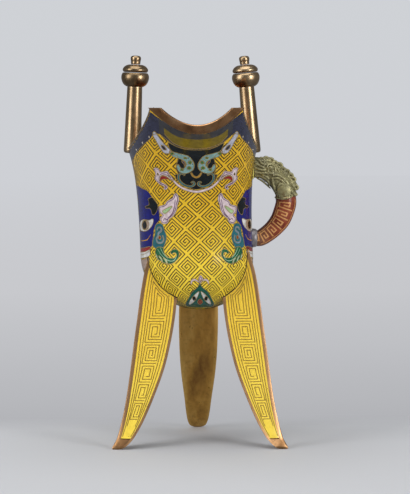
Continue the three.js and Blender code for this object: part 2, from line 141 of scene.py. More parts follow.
# Half of the ornament under the spout, as (angle from the spout's middle, height over the belly)
# pairs.
# Each row: name, colour, layer, kind, points. A stroke's kind is its width.
FRONT = [
    ("ground", "ink", 0, "cell", [
        (1, 67.8), (-5.8, 68.2), (-11.1, 69.2), (-16.4, 71.6), (-15.9, 68.0), (-14.8, 65.6),
        (-10.9, 63.0), (-12.2, 58.8), (-13, 55.7), (-11.9, 52.8), (-14.4, 52.1),
        (-13, 48.5), (-7.8, 45.3), (1, 43.5)]),
    ("ribbon", "lilac", 1, "cell", [
        (-24.6, 78.0), (-22.2, 74.7), (-20.5, 72.4), (-18.4, 70.0), (-15.9, 67.7),
        (-14.7, 66.4), (-17.1, 65.0), (-20, 65.2), (-21.9, 67.3), (-23.4, 69.9),
        (-24.8, 72.9), (-26.4, 76.0)]),
    ("ribbon_slot", "navy", 2, "cell", [
        (-21.4, 70.0), (-19.3, 69.3), (-18.2, 67.4), (-19.6, 67.1), (-21.2, 68.4)]),
    ("hook", "sea", 1, "cell", [
        (-16.1, 66.5), (-12.7, 65.8), (-8.6, 64.8), (-4.6, 63.9), (-2, 61.8), (-0.3, 58.8),
        (-0.8, 55.8), (-3.6, 53.9), (-7.7, 53.1), (-11, 54.1), (-12.5, 56.5), (-12.1, 58.2),
        (-10.8, 58.4), (-9.9, 56.7), (-8.1, 56.1), (-6.4, 57.1), (-6.2, 58.8), (-7.3, 60.6),
        (-8.9, 61.8), (-11.7, 62.5), (-14.4, 63.4), (-16, 64.7)]),
    ("hook_heart", "royal", 2, "cell", [
        (-8, 61.2), (-6.3, 60.3), (-5.6, 58.2), (-6.7, 57.3), (-7.1, 58.8), (-8.4, 60.1)]),
    ("bead_a", "leaf", 2, "cell", [(-3.1, 60.9), (-1.8, 60.0), (-2.9, 58.8), (-4.4, 59.5)]),
    ("bead_b", "leaf", 2, "cell", [(-3.7, 57.5), (-2.3, 56.5), (-3.8, 55.5), (-5.2, 56.4)]),
    ("bead_c", "leaf", 2, "cell", [(-9, 56.1), (-7.6, 55.5), (-9, 54.7), (-10.1, 55.3)]),
    ("bead_d", "leaf", 2, "cell", [(-6.1, 63.1), (-4.9, 62.5), (-6.2, 61.8), (-7.1, 62.5)]),
    ("bead_e", "leaf", 2, "cell", [(-14.8, 65.8), (-13.3, 65.2), (-14.7, 64.1), (-16, 64.8)]),
    ("crescent", "gold", 2, 0.9, [(-2.6, 53.6), (-1.2, 51.7), (1, 50.9)]),
    ("scroll", "teal", 1, 1.1, [
        (-7.1, 52.2), (-9.6, 53.1), (-11.7, 51.9), (-11.7, 49.2), (-9.3, 46.8), (-5.8, 45.5),
        (-2.6, 45.5), (-0.4, 46.8), (-1.3, 48.2), (-2.7, 47.6)]),
    ("whip", "pink", 2, 1.5, [
        (-19.2, 52.7), (-16.9, 49.7), (-13.4, 46.4), (-8, 43.8), (1, 42.2)]),
    ("dragon", "pink", 1, "cell", [
        (-36.7, 55.6), (-32, 56.4), (-27, 55.7), (-26.2, 54.1), (-23.1, 54.1),
        (-20, 54.6), (-18.3, 52.7), (-16, 49.1), (-17.9, 48.8), (-20.8, 51.0),
        (-24.6, 51.9), (-28.2, 50.4), (-29.4, 48.2), (-25.5, 47.2), (-22.3, 45.8),
        (-22, 44.3), (-24.5, 43.2), (-26.3, 43.9), (-24.7, 45.1), (-30, 46.2),
        (-34.2, 47.8), (-37.6, 49.9), (-34.9, 52.5)]),
    ("dragon_mouth", "brick", 2, "cell", [
        (-28, 50.0), (-24.7, 51.5), (-20.9, 50.7), (-19.5, 49.5), (-23.4, 49.7),
        (-26.4, 49.0), (-28.4, 47.6)]),
    ("dragon_eye", "coal", 2, "cell", [(-31.8, 52.6), (-30.4, 53.3), (-29.4, 52.4), (-30.8, 51.6)]),
    ("bud", "pink", 1, "cell", [
        (2.1, -7.6), (4.4, -9.5), (3.1, -11.8), (1.8, -13.0), (0.6, -11.8), (-0.3, -9.5)]),
    ("petal", "pink", 1, 1.3, [(-8.7, -13.2), (-7.5, -11.2), (-4.1, -10.4), (0.2, -11.9)]),
    ("palmette", "forest", 1, "cell", [
        (1, -12.4), (-1.6, -15.0), (-9.1, -18.3), (-17.8, -23.3), (-30, -27.5), (-28, -28.9),
        (1, -28.9)]),
    ("palmette_eye", "white", 2, "cell", [
        (-19.9, -26.2), (-8.5, -21.0), (-1.2, -17.9), (-0.2, -18.4), (-3.8, -22.3), (-8.4, -24.4),
        (-15.6, -26.2)]),
    ("palmette_pupil", "coal", 3, "cell", [(-9.8, -21.6), (-6.2, -21.0), (-5.2, -23.1), (-9.3, -23.7)]),
    ("palmette_nose", "rust", 2, "cell", [(1, -22.5), (-3.4, -25.0), (1, -26.6)]),
]

# Half of the beast mask on each flank, drawn on the side without the handle.
MASK = [
    ("face", "royal", 0, "cell", [
        (-90, 44.0), (-76, 44.4), (-63, 43.1), (-52.1, 41.9), (-46, 38.7),
        (-41.8, 36.4), (-37.6, 33.6), (-37.2, 29.0), (-37.9, 24.7), (-43, 22.2),
        (-47.1, 18.5), (-48.9, 14.8), (-50.6, 9.9), (-55.3, 7.0), (-66.6, 4.0),
        (-90, 0.0)]),
    ("brow", "ink", 1, "cell", [
        (-52.7, 37.1), (-45.3, 38.2), (-40.3, 36.1), (-38.1, 33.5), (-39.7, 30.7),
        (-44.2, 27.9), (-48.1, 28.1), (-48.9, 30.5), (-52.4, 31.6), (-58.3, 31.3),
        (-59.7, 32.3), (-52.2, 33.6), (-52, 35.6)]),
    ("eye", "white", 1, "cell", [
        (-80, 17.8), (-78.6, 21.4), (-70.8, 23.6), (-61.3, 24.3), (-54.3, 24.2),
        (-47.2, 25.3), (-47.8, 22.7), (-51.6, 20.1), (-59.8, 17.6), (-69.8, 16.9)]),
    ("iris", "sand", 2, "cell", [
        (-61.5, 23.9), (-55.6, 23.4), (-54.2, 21.3), (-56.8, 19.0), (-63.5, 17.8),
        (-70.2, 18.6), (-71.6, 20.7), (-68.5, 22.9)]),
    ("pupil", "coal", 3, "cell", [
        (-63, 23.6), (-59.6, 22.8), (-58.7, 21.0), (-60.4, 19.2), (-64.4, 18.2),
        (-68.2, 18.9), (-69.4, 20.7), (-67.2, 22.4)]),
    ("nose", "ink", 1, "cell", [
        (-90, 19.0), (-85.6, 18.0), (-83.4, 14.0), (-81.4, 10.4), (-84.6, 8.4), (-90, 8.0)]),
    ("forehead", "teal", 1, "cell", [
        (-90, 40.0), (-84, 38.0), (-80.6, 33.4), (-84.6, 29.0), (-90, 25.6)]),
    ("cheek", "gold", 2, 0.55, [(-79, 10.6), (-65.8, 11.4), (-58.7, 12.6), (-53.3, 15.4)]),
    ("mouth", "brick", 1, "cell", [
        (-90, 5.6), (-79, 6.2), (-66.9, 7.0), (-56.6, 8.2), (-53.7, 7.3),
        (-55.2, 6.0), (-60.2, 4.6), (-70.7, 2.9), (-90, 1.6)]),
    ("teeth", "white", 2, "cell", [
        (-90, 3.2), (-76, 4.0), (-65.1, 4.8), (-56.4, 6.2), (-55.8, 3.4),
        (-60.8, 1.8), (-71.5, 0.6), (-90, -0.4)]),
    ("chin", "sand", 1, "cell", [
        (-90, -0.6), (-72, -0.2), (-61.3, 1.4), (-58.1, 0.6), (-59.5, -1.9),
        (-72, -6.2), (-90, -7.6)]),
    ("ear", "pink", 1, "cell", [
        (-16, 41.3), (-14.1, 40.1), (-13.7, 37.1), (-15.6, 34.1), (-16.5, 31.7),
        (-19.1, 28.7), (-22, 26.8), (-25.2, 25.6), (-27.9, 23.1), (-33.2, 22.4),
        (-36.4, 24.0), (-36.6, 26.0), (-33.4, 27.7), (-36.1, 29.0), (-37.3, 31.4),
        (-36, 33.1), (-31.5, 33.7), (-27.3, 34.5), (-25.2, 36.2), (-21.5, 37.5),
        (-19.2, 38.4), (-17.9, 40.1)]),
    ("ear_leaf", "pale_leaf", 2, "cell", [
        (-32.7, 30.2), (-28.1, 31.6), (-23.6, 32.9), (-20.7, 33.4), (-22.7, 31.6),
        (-26.3, 29.7), (-30.4, 28.7)]),
    ("ear_line", "plum", 2, 0.5, [
        (-33, 24.4), (-30.6, 25.9), (-28.7, 25.0), (-24.9, 26.9), (-21.2, 29.3),
        (-18.7, 32.9), (-17, 37.4)]),
    ("limb", "teal", 1, "cell", [
        (-44.7, 21.2), (-38.8, 22.8), (-34.3, 21.8), (-33, 18.8), (-31.2, 15.9),
        (-32.1, 12.3), (-34.8, 9.2), (-35.8, 6.8), (-34.1, 4.0), (-30.2, 2.5),
        (-25.1, 2.3), (-21.8, 3.6), (-21.9, 5.0), (-24.2, 5.5), (-26.5, 4.5),
        (-27.9, 5.2), (-26.2, 7.0), (-21.7, 7.7), (-18.9, 6.3), (-19, 3.3),
        (-22.5, 0.6), (-26.5, -1.0), (-32.4, -1.4), (-39.9, 0.0), (-45.9, 2.2),
        (-47.5, 5.2), (-46.3, 7.1), (-50.4, 8.7), (-50.6, 11.7), (-47, 14.9),
        (-45.4, 17.9)]),
    ("cloud", "sky", 2, 0.9, [
        (-42.6, 18.6), (-40.8, 20.1), (-37.3, 20.2), (-36.8, 18.4), (-40.8, 16.8),
        (-41.8, 15.0), (-44.3, 13.1), (-42.5, 11.1), (-37.7, 11.2), (-34.8, 13.1),
        (-35.7, 15.5)]),
    ("cloud_heart", "rust", 2, "cell", [(-39.4, 15.3), (-37.9, 14.2), (-39.8, 12.9), (-41.4, 14.1)]),
    ("paw", "fern", 2, "cell", [
        (-42.5, 8.4), (-36.4, 8.2), (-35.8, 6.8), (-34.1, 4.0), (-30.2, 2.5), (-25.1, 2.3),
        (-21.8, 3.6), (-21.9, 5.0), (-24.2, 5.5), (-26.5, 4.5), (-27.9, 5.2), (-26.2, 7.0),
        (-21.7, 7.7), (-18.9, 6.3), (-19.0, 3.3), (-22.5, 0.6), (-26.5, -1.0), (-32.4, -1.3),
        (-39.9, 0.0), (-45.9, 2.2), (-47.2, 5.2), (-46.0, 7.0)]),
    ("paw_line_a", "claw", 3, 0.35, [(-43.6, 7.2), (-38.4, 3.4), (-30.4, 0.6), (-24.4, 1.0), (-21.0, 4.0)]),
    ("paw_line_b", "claw", 3, 0.35, [(-40.0, 8.2), (-36.6, 4.8), (-31.4, 2.0)]),
    ("claw_a", "claw", 3, 1.0, [(-36.5, 2.0), (-34, 0.9), (-32, -1.7)]),
    ("claw_b", "claw", 3, 1.0, [(-42.3, 3.0), (-39.7, 1.6), (-38, -0.9)]),
    ("claw_c", "claw", 3, 1.0, [(-46.8, 4.1), (-45.2, 2.6), (-43.8, 0.5)]),
]

# The collar of dark enamel under the mouth: its lower edge as (angle, height over the belly)
COLLAR_LOW = [
    (0, 67.2), (8, 67.8), (15, 70.4), (20, 74.2), (24, 76.6), (34, 74.1), (48.6, 70.7),
    (61.4, 66.6), (71.4, 62.6), (82, 58.6), (92, 56.4), (110, 55.4), (140, 57.0),
    (160, 60.5), (180, 64.0),
]
# Edges of the band of yellow enamel under the lip, coloured darker as painted shade
SHADE_DARKENED_LOW = [(0, 68.0), (8.3, 69.0), (14.8, 71.4), (18.4, 75.0), (21, 78.0)]
SHADE_DARKENED_TOP = [(0, 73.4), (8.3, 74.2), (14.2, 76.2), (19.2, 79.6), (21, 80.6)]
# The drawings were made with the vessel turned by this many degrees
TURNED = 1.6
FRONT_CENTRE = 1.0
MASK_CENTRE = 2.6
BACK_DROP = 2.5


# Shapes in plain numbers
def lerp(a, b, t):
    return a + (b - a) * t


def smooth(line, place):
    """Smooth value at a place along a short list of (place, value) pairs."""
    last = len(line) - 1
    if place <= line[0][0]:
        return line[0][1]
    if place >= line[last][0]:
        return line[last][1]
    i = next(k for k, pair in enumerate(line) if pair[0] > place) - 1

    def slope(k):
        a, b = line[max(k - 1, 0)], line[min(k + 1, last)]
        return (b[1] - a[1]) / (b[0] - a[0])

    span = line[i + 1][0] - line[i][0]
    t = (place - line[i][0]) / span
    rise = 3 * t * t - 2 * t ** 3
    bend = span * (t - 2 * t * t + t ** 3) * slope(i)
    bend_next = span * (t ** 3 - t * t) * slope(i + 1)
    return line[i][1] * (1 - rise) + line[i + 1][1] * rise + bend + bend_next


def bezier(points, t):
    points = [np.array(p, float) for p in points]
    while len(points) > 1:
        points = [lerp(a, b, t) for a, b in zip(points, points[1:])]
    return points[0]


LIP_LINE = [(0, HORN[1], LIP_LOW_Z), (HORN[0] / 2, HORN[1], LIP_LOW_Z), HORN]
SPOUT_EDGE = [
    HORN,
    (lerp(HORN[0], SADDLE[0], 0.13), lerp(HORN[1], SADDLE[1], 0.2), lerp(HORN[2], SADDLE[2], 0.35)),
    (SADDLE[0], lerp(SADDLE[1], HORN[1], 0.4), SADDLE[2]),
    SADDLE,
]
TAIL_EDGE = [
    SADDLE,
    (SADDLE[0], lerp(SADDLE[1], TAIL[1], 0.38), SADDLE[2]),
    (9.0, TAIL[1], lerp(SADDLE[2], TAIL[2], 0.65)),
    TAIL,
]


def rim_point(angle):
    turn = abs(angle)
    if turn <= HORN_ANGLE:
        point = bezier(LIP_LINE, turn / HORN_ANGLE)
    elif turn <= 90:
        point = bezier(SPOUT_EDGE, (turn - HORN_ANGLE) / (90 - HORN_ANGLE))
    else:
        point = bezier(TAIL_EDGE, (turn - 90) / 90)
    if angle < 0:
        point[0] = -point[0]
    return point


def wall_point(angle, level):
    """Outer wall without the lean. Level 0 is the bottom, 1 the belly and 2 the mouth's edge."""
    angle = (angle + 180) % 360 - 180
    turn = math.radians(angle)
    belly = np.array([BELLY_X * math.sin(turn), -BELLY_Y * math.cos(turn), BELLY_Z])
    if level <= 1:
        rise = level * math.pi / 2
        x, y = belly[:2] * math.sin(rise)
        return np.array([x, y, BELLY_Z - (BELLY_Z - BOTTOM_Z) * math.cos(rise)])
    rim = rim_point(angle)
    forward = -math.cos(turn)
    side = math.copysign((RIM_HALF - BELLY_X) * 3.5 * (1 - abs(forward)), math.sin(turn))
    climb = rim[2] - BELLY_Z
    start = np.array([0, 0, climb * (1 + 0.35 * abs(forward))])
    reach = max(abs(rim[1]) - BELLY_Y * abs(forward), 0)
    end = np.array([side, forward * reach * 2, climb * 0.75])
    t = level - 1
    rise = 3 * t * t - 2 * t ** 3
    return (belly * (1 - rise) + start * (t - 2 * t * t + t ** 3)
            + rim * rise + end * (t ** 3 - t * t))


def wall_normal(angle, level):
    around = wall_point(angle + 0.5, level) - wall_point(angle - 0.5, level)
    up = wall_point(angle, min(level + 0.02, 2)) - wall_point(angle, level - 0.02)
    normal = np.cross(around, up)
    return normal / np.linalg.norm(normal)


def wall_under(angle, level, depth):
    """Point under the outer wall. At the mouth it is taken level, and upright at the spout's end."""
    normal = wall_normal(angle, level)
    if level == 2:
        normal[1 if abs(angle) <= HORN_ANGLE else 2] = 0
        normal /= np.linalg.norm(normal)
    return wall_point(angle, level) - normal * depth


def lean_shift(z):
    return -LEAN_AT_RIM * np.maximum(z - BOTTOM_Z, 0) / (SADDLE[2] - BOTTOM_Z)


def leaned(points):
    points = np.array(points, float).reshape(-1, 3)
    points[:, 0] += lean_shift(points[:, 2])
    return points


def flat_height(rise):
    """Height in the flat drawing of the bowl for a real height over the belly."""
    if rise >= 0:
        return rise
    level = math.acos(min(-rise / (BELLY_Z - BOTTOM_Z), 1)) * 2 / math.pi
    return -BOTTOM_ARC * (1 - level)


# Mesh helpers
def to_part(points):
    return (np.array(points, float).reshape(-1, 3) + OFFSET) / 1000


def new_object(name, points, faces, sharp=None, recalc=True):
    """A mesh object from points in the part's frame, in metres."""
    mesh = bpy.data.meshes.new(name)
    mesh.from_pydata([tuple(p) for p in points], [], [tuple(f) for f in faces])
    if recalc:
        shape = bmesh.new()
        shape.from_mesh(mesh)
        bmesh.ops.remove_doubles(shape, verts=shape.verts, dist=1e-7)
        bmesh.ops.recalc_face_normals(shape, faces=shape.faces)
        shape.to_mesh(mesh)
        shape.free()
        turn_outward(mesh)
    mesh.shade_smooth()
    if sharp is not None:
        mesh.set_sharp_from_angle(angle=math.radians(sharp))
    made = bpy.data.objects.new(name, mesh)
    bpy.context.scene.collection.objects.link(made)
    return made


def turn_outward(mesh):
    """Flips a closed mesh whose faces look inwards."""
    mesh.calc_loop_triangles()
    spots = np.empty(len(mesh.vertices) * 3)
    mesh.vertices.foreach_get("co", spots)
    corners = np.empty(len(mesh.loop_triangles) * 3, dtype=np.int32)
    mesh.loop_triangles.foreach_get("vertices", corners)
    a, b, c = spots.reshape(-1, 3)[corners].reshape(-1, 3, 3).transpose(1, 0, 2)
    if (a * np.cross(b, c)).sum() < 0:
        mesh.flip_normals()


def ring_faces(rings, count, closed=False):
    """Faces between rings of equal count, with the last ring joined to the first when the rings close."""
    faces = []
    steps = rings if closed else rings - 1
    for i in range(steps):
        for j in range(count):
            a, b = i * count + j, i * count + (j + 1) % count
            c, d = ((i + 1) % rings) * count + (j + 1) % count, ((i + 1) % rings) * count + j
            faces.append((a, b, c, d))
    return faces


def ring_body(name, rings, sharp=40):
    count = len(rings[0])
    points = [p for ring in rings for p in ring]
    faces = ring_faces(len(rings), count)
    first, last = len(points), len(points) + 1
    points.append(np.mean(rings[0], axis=0))
    points.append(np.mean(rings[-1], axis=0))
    end = (len(rings) - 1) * count
    for j in range(count):
        k = (j + 1) % count
        faces.append((first, k, j))
        faces.append((last, end + j, end + k))
    return new_object(name, to_part(points), faces, sharp)


def finish_piece(piece, material, nodes=()):
    piece.data.materials.clear()
    piece.data.materials.append(material)
    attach(piece, "root")
    if nodes:
        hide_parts(*nodes)
    return piece


def curve_through(points, pieces, closed):
    """Points along a smooth curve through the given flat points."""
    points = [np.array(p, float) for p in points]
    count = len(points)
    spans = count if closed else count - 1
    line = []
    for i in range(spans):
        if closed:
            a, b, c, d = (points[(i + k) % count] for k in (-1, 0, 1, 2))
        else:
            b, c = points[i], points[i + 1]
            a = points[i - 1] if i else 2 * b - c
            d = points[i + 2] if i + 2 < count else 2 * c - b
        for k in range(pieces):
            t = k / pieces
            line.append(0.5 * (2 * b + (c - a) * t + (2 * a - 5 * b + 4 * c - d) * t * t
                               + (3 * b - a - 3 * c + d) * t ** 3))
    if not closed:
        line.append(points[-1])
    return line


def divided(points, step, closed=False):
    """The same line with no span longer than the step."""
    points = [np.array(p, float) for p in points]
    ends = points[1:] + ([points[0]] if closed else [])
    line = []
    for a, b in zip(points, ends):
        parts = max(1, math.ceil(np.linalg.norm(b - a) / step))
        line += [lerp(a, b, k / parts) for k in range(parts)]
    if not closed:
        line.append(points[-1])
    return line


def ribbon(points, width, height, closed=False):
    """A closed flat wire along a line: its points and faces, with height as the third number."""
    line = np.array(points, float)
    count = len(line)
    before = np.roll(line, 1, 0)
    after = np.roll(line, -1, 0)
    if not closed:
        before[0], after[-1] = 2 * line[0] - line[1], 2 * line[-1] - line[-2]
    into, out = line - before, after - line
    into /= np.maximum(np.linalg.norm(into, axis=1), 1e-9)[:, None]
    out /= np.maximum(np.linalg.norm(out, axis=1), 1e-9)[:, None]
    side_in = np.stack([-into[:, 1], into[:, 0]], 1)
    side_out = np.stack([-out[:, 1], out[:, 0]], 1)
    side = side_in + side_out
    side /= np.maximum((side * side_in).sum(1), 0.6)[:, None]
    left, right = line + side * width / 2, line - side * width / 2
    rings = []
    for a, b in zip(left, right):
        rings.append([(a[0], a[1], -WIRE_SINK), (a[0], a[1], height), (b[0], b[1], height),
                      (b[0], b[1], -WIRE_SINK)])
    faces = ring_faces(count, 4, closed)
    if not closed:
        end = (count - 1) * 4
        faces += [(3, 2, 1, 0), (end, end + 1, end + 2, end + 3)]
    return [p for ring in rings for p in ring], faces


class Drawing:
    """Flat closed shapes in millimetres that are laid on a curved surface later."""

    def __init__(self):
        self.points, self.faces, self.tints = [], [], []

    def add(self, points, faces, tint=None):
        start = len(self.points)
        self.points += [tuple(p) for p in points]
        self.faces += [tuple(i + start for i in face) for face in faces]
        self.tints += [tint] * len(points)

    def wire(self, points, width, height, closed=False, step=1.6, tint=None):
        self.add(*ribbon(divided(points, step, closed), width, height, closed), tint)

    def cell(self, outline, top, tint, step=1.7):
        """A plate of enamel inside an outline."""
        edge = divided(outline, step, True)
        flat = [Vector(p) for p in edge]
        low, high = np.min(edge, 0), np.max(edge, 0)
        loop = list(range(len(edge)))
        for x in np.arange(low[0] + step / 2, high[0], step):
            for y in np.arange(low[1] + step / 2, high[1], step):
                if inside((x, y), edge) and nearest((x, y), edge) > step * 0.45:
                    flat.append(Vector((x, y)))
        spans = [(i, (i + 1) % len(edge)) for i in loop]
        found, _, faces, _, _, _ = geometry.delaunay_2d_cdt(flat, spans, [loop], 1, 1e-5)
        count = len(found)
        points = [(p.x, p.y, top) for p in found] + [(p.x, p.y, -WIRE_SINK) for p in found]
        used = {}
        for face in faces:
            for a, b in zip(face, face[1:] + face[:1]):
                used[(a, b)] = used.get((a, b), 0) + 1
        border = [pair for pair in used if (pair[1], pair[0]) not in used]
        solid = [tuple(f) for f in faces]
        solid += [tuple(i + count for i in reversed(f)) for f in faces]
        solid += [(b, a, a + count, b + count) for a, b in border]
        self.add(points, solid, tint)


def inside(point, outline):
    x, y = point
    within = False
    for a, b in zip(outline, outline[1:] + outline[:1]):
        if (a[1] > y) != (b[1] > y) and x < (b[0] - a[0]) * (y - a[1]) / (b[1] - a[1]) + a[0]:
            within = not within
    return within


def nearest(point, outline):
    return min(math.hypot(p[0] - point[0], p[1] - point[1]) for p in outline)


class Carrier:
    """A grid of points and outward directions that a flat drawing is laid on."""

    def __init__(self, name, points, normals, span_across, span_up, origin=(0.0, 0.0)):
        self.name, self.points, self.normals = name, points, normals
        self.span_across, self.span_up, self.origin = span_across, span_up, origin

    def place(self, flat):
        """Real points, in the part's frame, for flat ones."""
        flat = np.array(flat, float)
        across, up = self.points.shape[0] - 1, self.points.shape[1] - 1
        u = ((flat[:, 0] - self.origin[0]) / self.span_across) % 1.0 * across
        v = np.clip((flat[:, 1] - self.origin[1]) / self.span_up, 0, 1) * up
        i, j = np.minimum(u.astype(int), across - 1), np.minimum(v.astype(int), up - 1)
        s, t = (u - i)[:, None], (v - j)[:, None]

        def blend(grid):
            low = grid[i, j] * (1 - s) + grid[i + 1, j] * s
            high = grid[i, j + 1] * (1 - s) + grid[i + 1, j + 1] * s
            return low * (1 - t) + high * t

        return blend(self.points) + blend(self.normals) * flat[:, 2:3] / 1000

    def surface(self):
        """The grid as an object with its flat coordinates as a UV map, for the node tree."""
        columns, rows = self.points.shape[:2]
        faces = [(i * rows + j, (i + 1) * rows + j, (i + 1) * rows + j + 1, i * rows + j + 1)
                 for i in range(columns - 1) for j in range(rows - 1)]
        made = new_object(self.name, self.points.reshape(-1, 3), faces, recalc=False)
        mesh = made.data
        layer = mesh.uv_layers.new(name="place")
        for loop in mesh.loops:
            i, j = divmod(loop.vertex_index, rows)
            layer.data[loop.index].uv = (i / (columns - 1), j / (rows - 1))
        outward = mesh.attributes.new("outward", "FLOAT_VECTOR", "POINT")
        outward.data.foreach_set("vector", self.normals.reshape(-1).astype(np.float32))
        return made


def bowl_carrier():
    """The outer wall. Above the mouth's edge it turns into the wall, so drawings end there."""
    levels = np.linspace(0.02, 2, 140)
    heights = np.arange(DRAWING_LOW, DRAWING_HIGH + 0.5, 1.0)
    points, normals = [], []
    for angle in np.arange(-180, 181, 1.0):
        column = np.array([wall_point(angle, level) for level in levels])
        outward = np.array([wall_normal(angle, level) for level in levels])
        flat = np.array([flat_height(z) for z in column[:, 2] - BELLY_Z])
        for h in heights:
            place = min(h, flat[-1])
            sink = 0.5 if h > flat[-1] + 1.0 else 0.0
            p = np.array([np.interp(place, flat, column[:, k]) for k in range(3)])
            n = np.array([np.interp(place, flat, outward[:, k]) for k in range(3)])
            points.append(p - n * sink)
            normals.append(n / np.linalg.norm(n))
    shape = (361, len(heights), 3)
    return Carrier("bowl_carrier", to_part(leaned(points)).reshape(shape),
                   np.array(normals).reshape(shape), ROUND, heights[-1] - heights[0],
                   (-ROUND / 2, DRAWING_LOW))


# Node trees
def inlay_tree():
    """Lays copies of a flat motif on a curved surface through the surface's UV map."""
    tree = bpy.data.node_groups.new("Inlay on a surface", "GeometryNodeTree")
    sockets = tree.interface
    sockets.new_socket("Places", in_out="INPUT", socket_type="NodeSocketGeometry")
    sockets.new_socket("Motif", in_out="INPUT", socket_type="NodeSocketObject")
    sockets.new_socket("Surface", in_out="INPUT", socket_type="NodeSocketObject")
    for name in ("Span across", "Span up", "Start across", "Start up"):
        sockets.new_socket(name, in_out="INPUT", socket_type="NodeSocketFloat")
    sockets.new_socket("Merge distance", in_out="INPUT", socket_type="NodeSocketFloat")
    sockets.new_socket("Material", in_out="INPUT", socket_type="NodeSocketMaterial")
    sockets.new_socket("Inlay", in_out="OUTPUT", socket_type="NodeSocketGeometry")
    nodes, links = tree.nodes, tree.links

    def node(kind, **settings):
        made = nodes.new(kind)
        for key, value in settings.items():
            setattr(made, key, value)
        return made

    def math_node(operation, a, b=None):
        made = node("ShaderNodeMath", operation=operation)
        links.new(a, made.inputs[0])
        if isinstance(b, float):
            made.inputs[1].default_value = b
        elif b is not None:
            links.new(b, made.inputs[1])
        return made.outputs[0]

    given = node("NodeGroupInput").outputs
    motif = node("GeometryNodeObjectInfo")
    surface = node("GeometryNodeObjectInfo")
    links.new(given["Motif"], motif.inputs["Object"])
    links.new(given["Surface"], surface.inputs["Object"])
    copies = node("GeometryNodeInstanceOnPoints")
    links.new(given["Places"], copies.inputs["Points"])
    links.new(motif.outputs["Geometry"], copies.inputs["Instance"])
    real = node("GeometryNodeRealizeInstances")
    links.new(copies.outputs["Instances"], real.inputs["Geometry"])
    split = node("ShaderNodeSeparateXYZ")
    links.new(node("GeometryNodeInputPosition").outputs[0], split.inputs[0])
    across = math_node("DIVIDE", math_node("SUBTRACT", split.outputs[0], given["Start across"]),
                       given["Span across"])
    up = math_node("DIVIDE", math_node("SUBTRACT", split.outputs[1], given["Start up"]), given["Span up"])
    spot = node("ShaderNodeCombineXYZ")
    links.new(math_node("FRACT", across), spot.inputs[0])
    links.new(up, spot.inputs[1])
    flat_map = node("GeometryNodeInputNamedAttribute", data_type="FLOAT_VECTOR")
    flat_map.inputs["Name"].default_value = "place"
    outward = node("GeometryNodeInputNamedAttribute", data_type="FLOAT_VECTOR")
    outward.inputs["Name"].default_value = "outward"

    def sampled(field):
        made = node("GeometryNodeSampleUVSurface", data_type="FLOAT_VECTOR")
        links.new(surface.outputs["Geometry"], made.inputs["Mesh"])
        links.new(field, next(s for s in made.inputs if s.name == "Value" and s.enabled))
        links.new(flat_map.outputs["Attribute"], next(s for s in made.inputs if "UV Map" in s.name))
        links.new(spot.outputs[0], made.inputs["Sample UV"])
        return next(s for s in made.outputs if s.name == "Value" and s.enabled)

    base = sampled(node("GeometryNodeInputPosition").outputs[0])
    lift = node("ShaderNodeVectorMath", operation="SCALE")
    links.new(sampled(outward.outputs["Attribute"]), lift.inputs[0])
    links.new(math_node("MULTIPLY", split.outputs[2], 0.001), lift.inputs["Scale"])
    sum_node = node("ShaderNodeVectorMath", operation="ADD")
    links.new(base, sum_node.inputs[0])
    links.new(lift.outputs[0], sum_node.inputs[1])
    moved = node("GeometryNodeSetPosition")
    links.new(real.outputs[0], moved.inputs["Geometry"])
    links.new(sum_node.outputs[0], moved.inputs["Position"])
    merged = node("GeometryNodeMergeByDistance")
    links.new(moved.outputs[0], merged.inputs["Geometry"])
    links.new(given["Merge distance"], merged.inputs["Distance"])
    painted = node("GeometryNodeSetMaterial")
    links.new(merged.outputs[0], painted.inputs["Geometry"])
    links.new(given["Material"], painted.inputs["Material"])
    links.new(painted.outputs[0], node("NodeGroupOutput").inputs[0])
    return tree


def inlay(name, drawing, carrier, material, places=((0.0, 0.0),)):
    """Runs the tree for one drawing and returns the plain mesh object."""
    tree = bpy.data.node_groups.get("Inlay on a surface") or inlay_tree()
    motif = new_object("motif", drawing.points, drawing.faces)
    surface = carrier.surface()
    spots = bpy.data.meshes.new("places")
    spots.from_pydata([(x, y, 0.0) for x, y in places], [], [])
    holder = bpy.data.objects.new("places", spots)
    bpy.context.scene.collection.objects.link(holder)
    modifier = holder.modifiers.new("Inlay", "NODES")
    modifier.node_group = tree
    given = {
        "Motif": motif, "Surface": surface, "Span across": carrier.span_across,
        "Span up": carrier.span_up, "Start across": carrier.origin[0],
        "Start up": carrier.origin[1], "Merge distance": 2e-6, "Material": material,
    }
    for socket in tree.interface.items_tree:
        if socket.item_type == "SOCKET" and socket.name in given:
            modifier[socket.identifier] = given[socket.name]
    result = plain_copy(holder, name)
    for extra in (holder, motif, surface):
        bpy.data.objects.remove(extra)
    drop_strays(result.data)
    turn_outward(result.data)
    result.data.shade_smooth()
    result.data.set_sharp_from_angle(angle=math.radians(50))
    return result


def drop_strays(mesh):
    """Removes points that found no place on the surface and stayed at the origin."""
    shape = bmesh.new()
    shape.from_mesh(mesh)
    strays = [vert for vert in shape.verts if vert.co.length < 0.004]
    if strays:
        bmesh.ops.delete(shape, geom=strays, context="VERTS")
        shape.to_mesh(mesh)
    shape.free()


def plain_copy(source, name):
    """The evaluated mesh of an object as a new plain object."""
    graph = bpy.context.evaluated_depsgraph_get()
    graph.update()
    mesh = bpy.data.meshes.new_from_object(source.evaluated_get(graph))
    mesh.name = name
    if not mesh.polygons:
        raise RuntimeError(f"{name} came out empty")
    result = bpy.data.objects.new(name, mesh)
    bpy.context.scene.collection.objects.link(result)
    return result


# Materials
def linear(colour):
    """Linear RGBA for a colour given as it looks, 0 to 255."""
    parts = [c / 255 for c in colour]
    return tuple(p / 12.92 if p <= 0.04045 else ((p + 0.055) / 1.055) ** 2.4 for p in parts) + (1.0,)


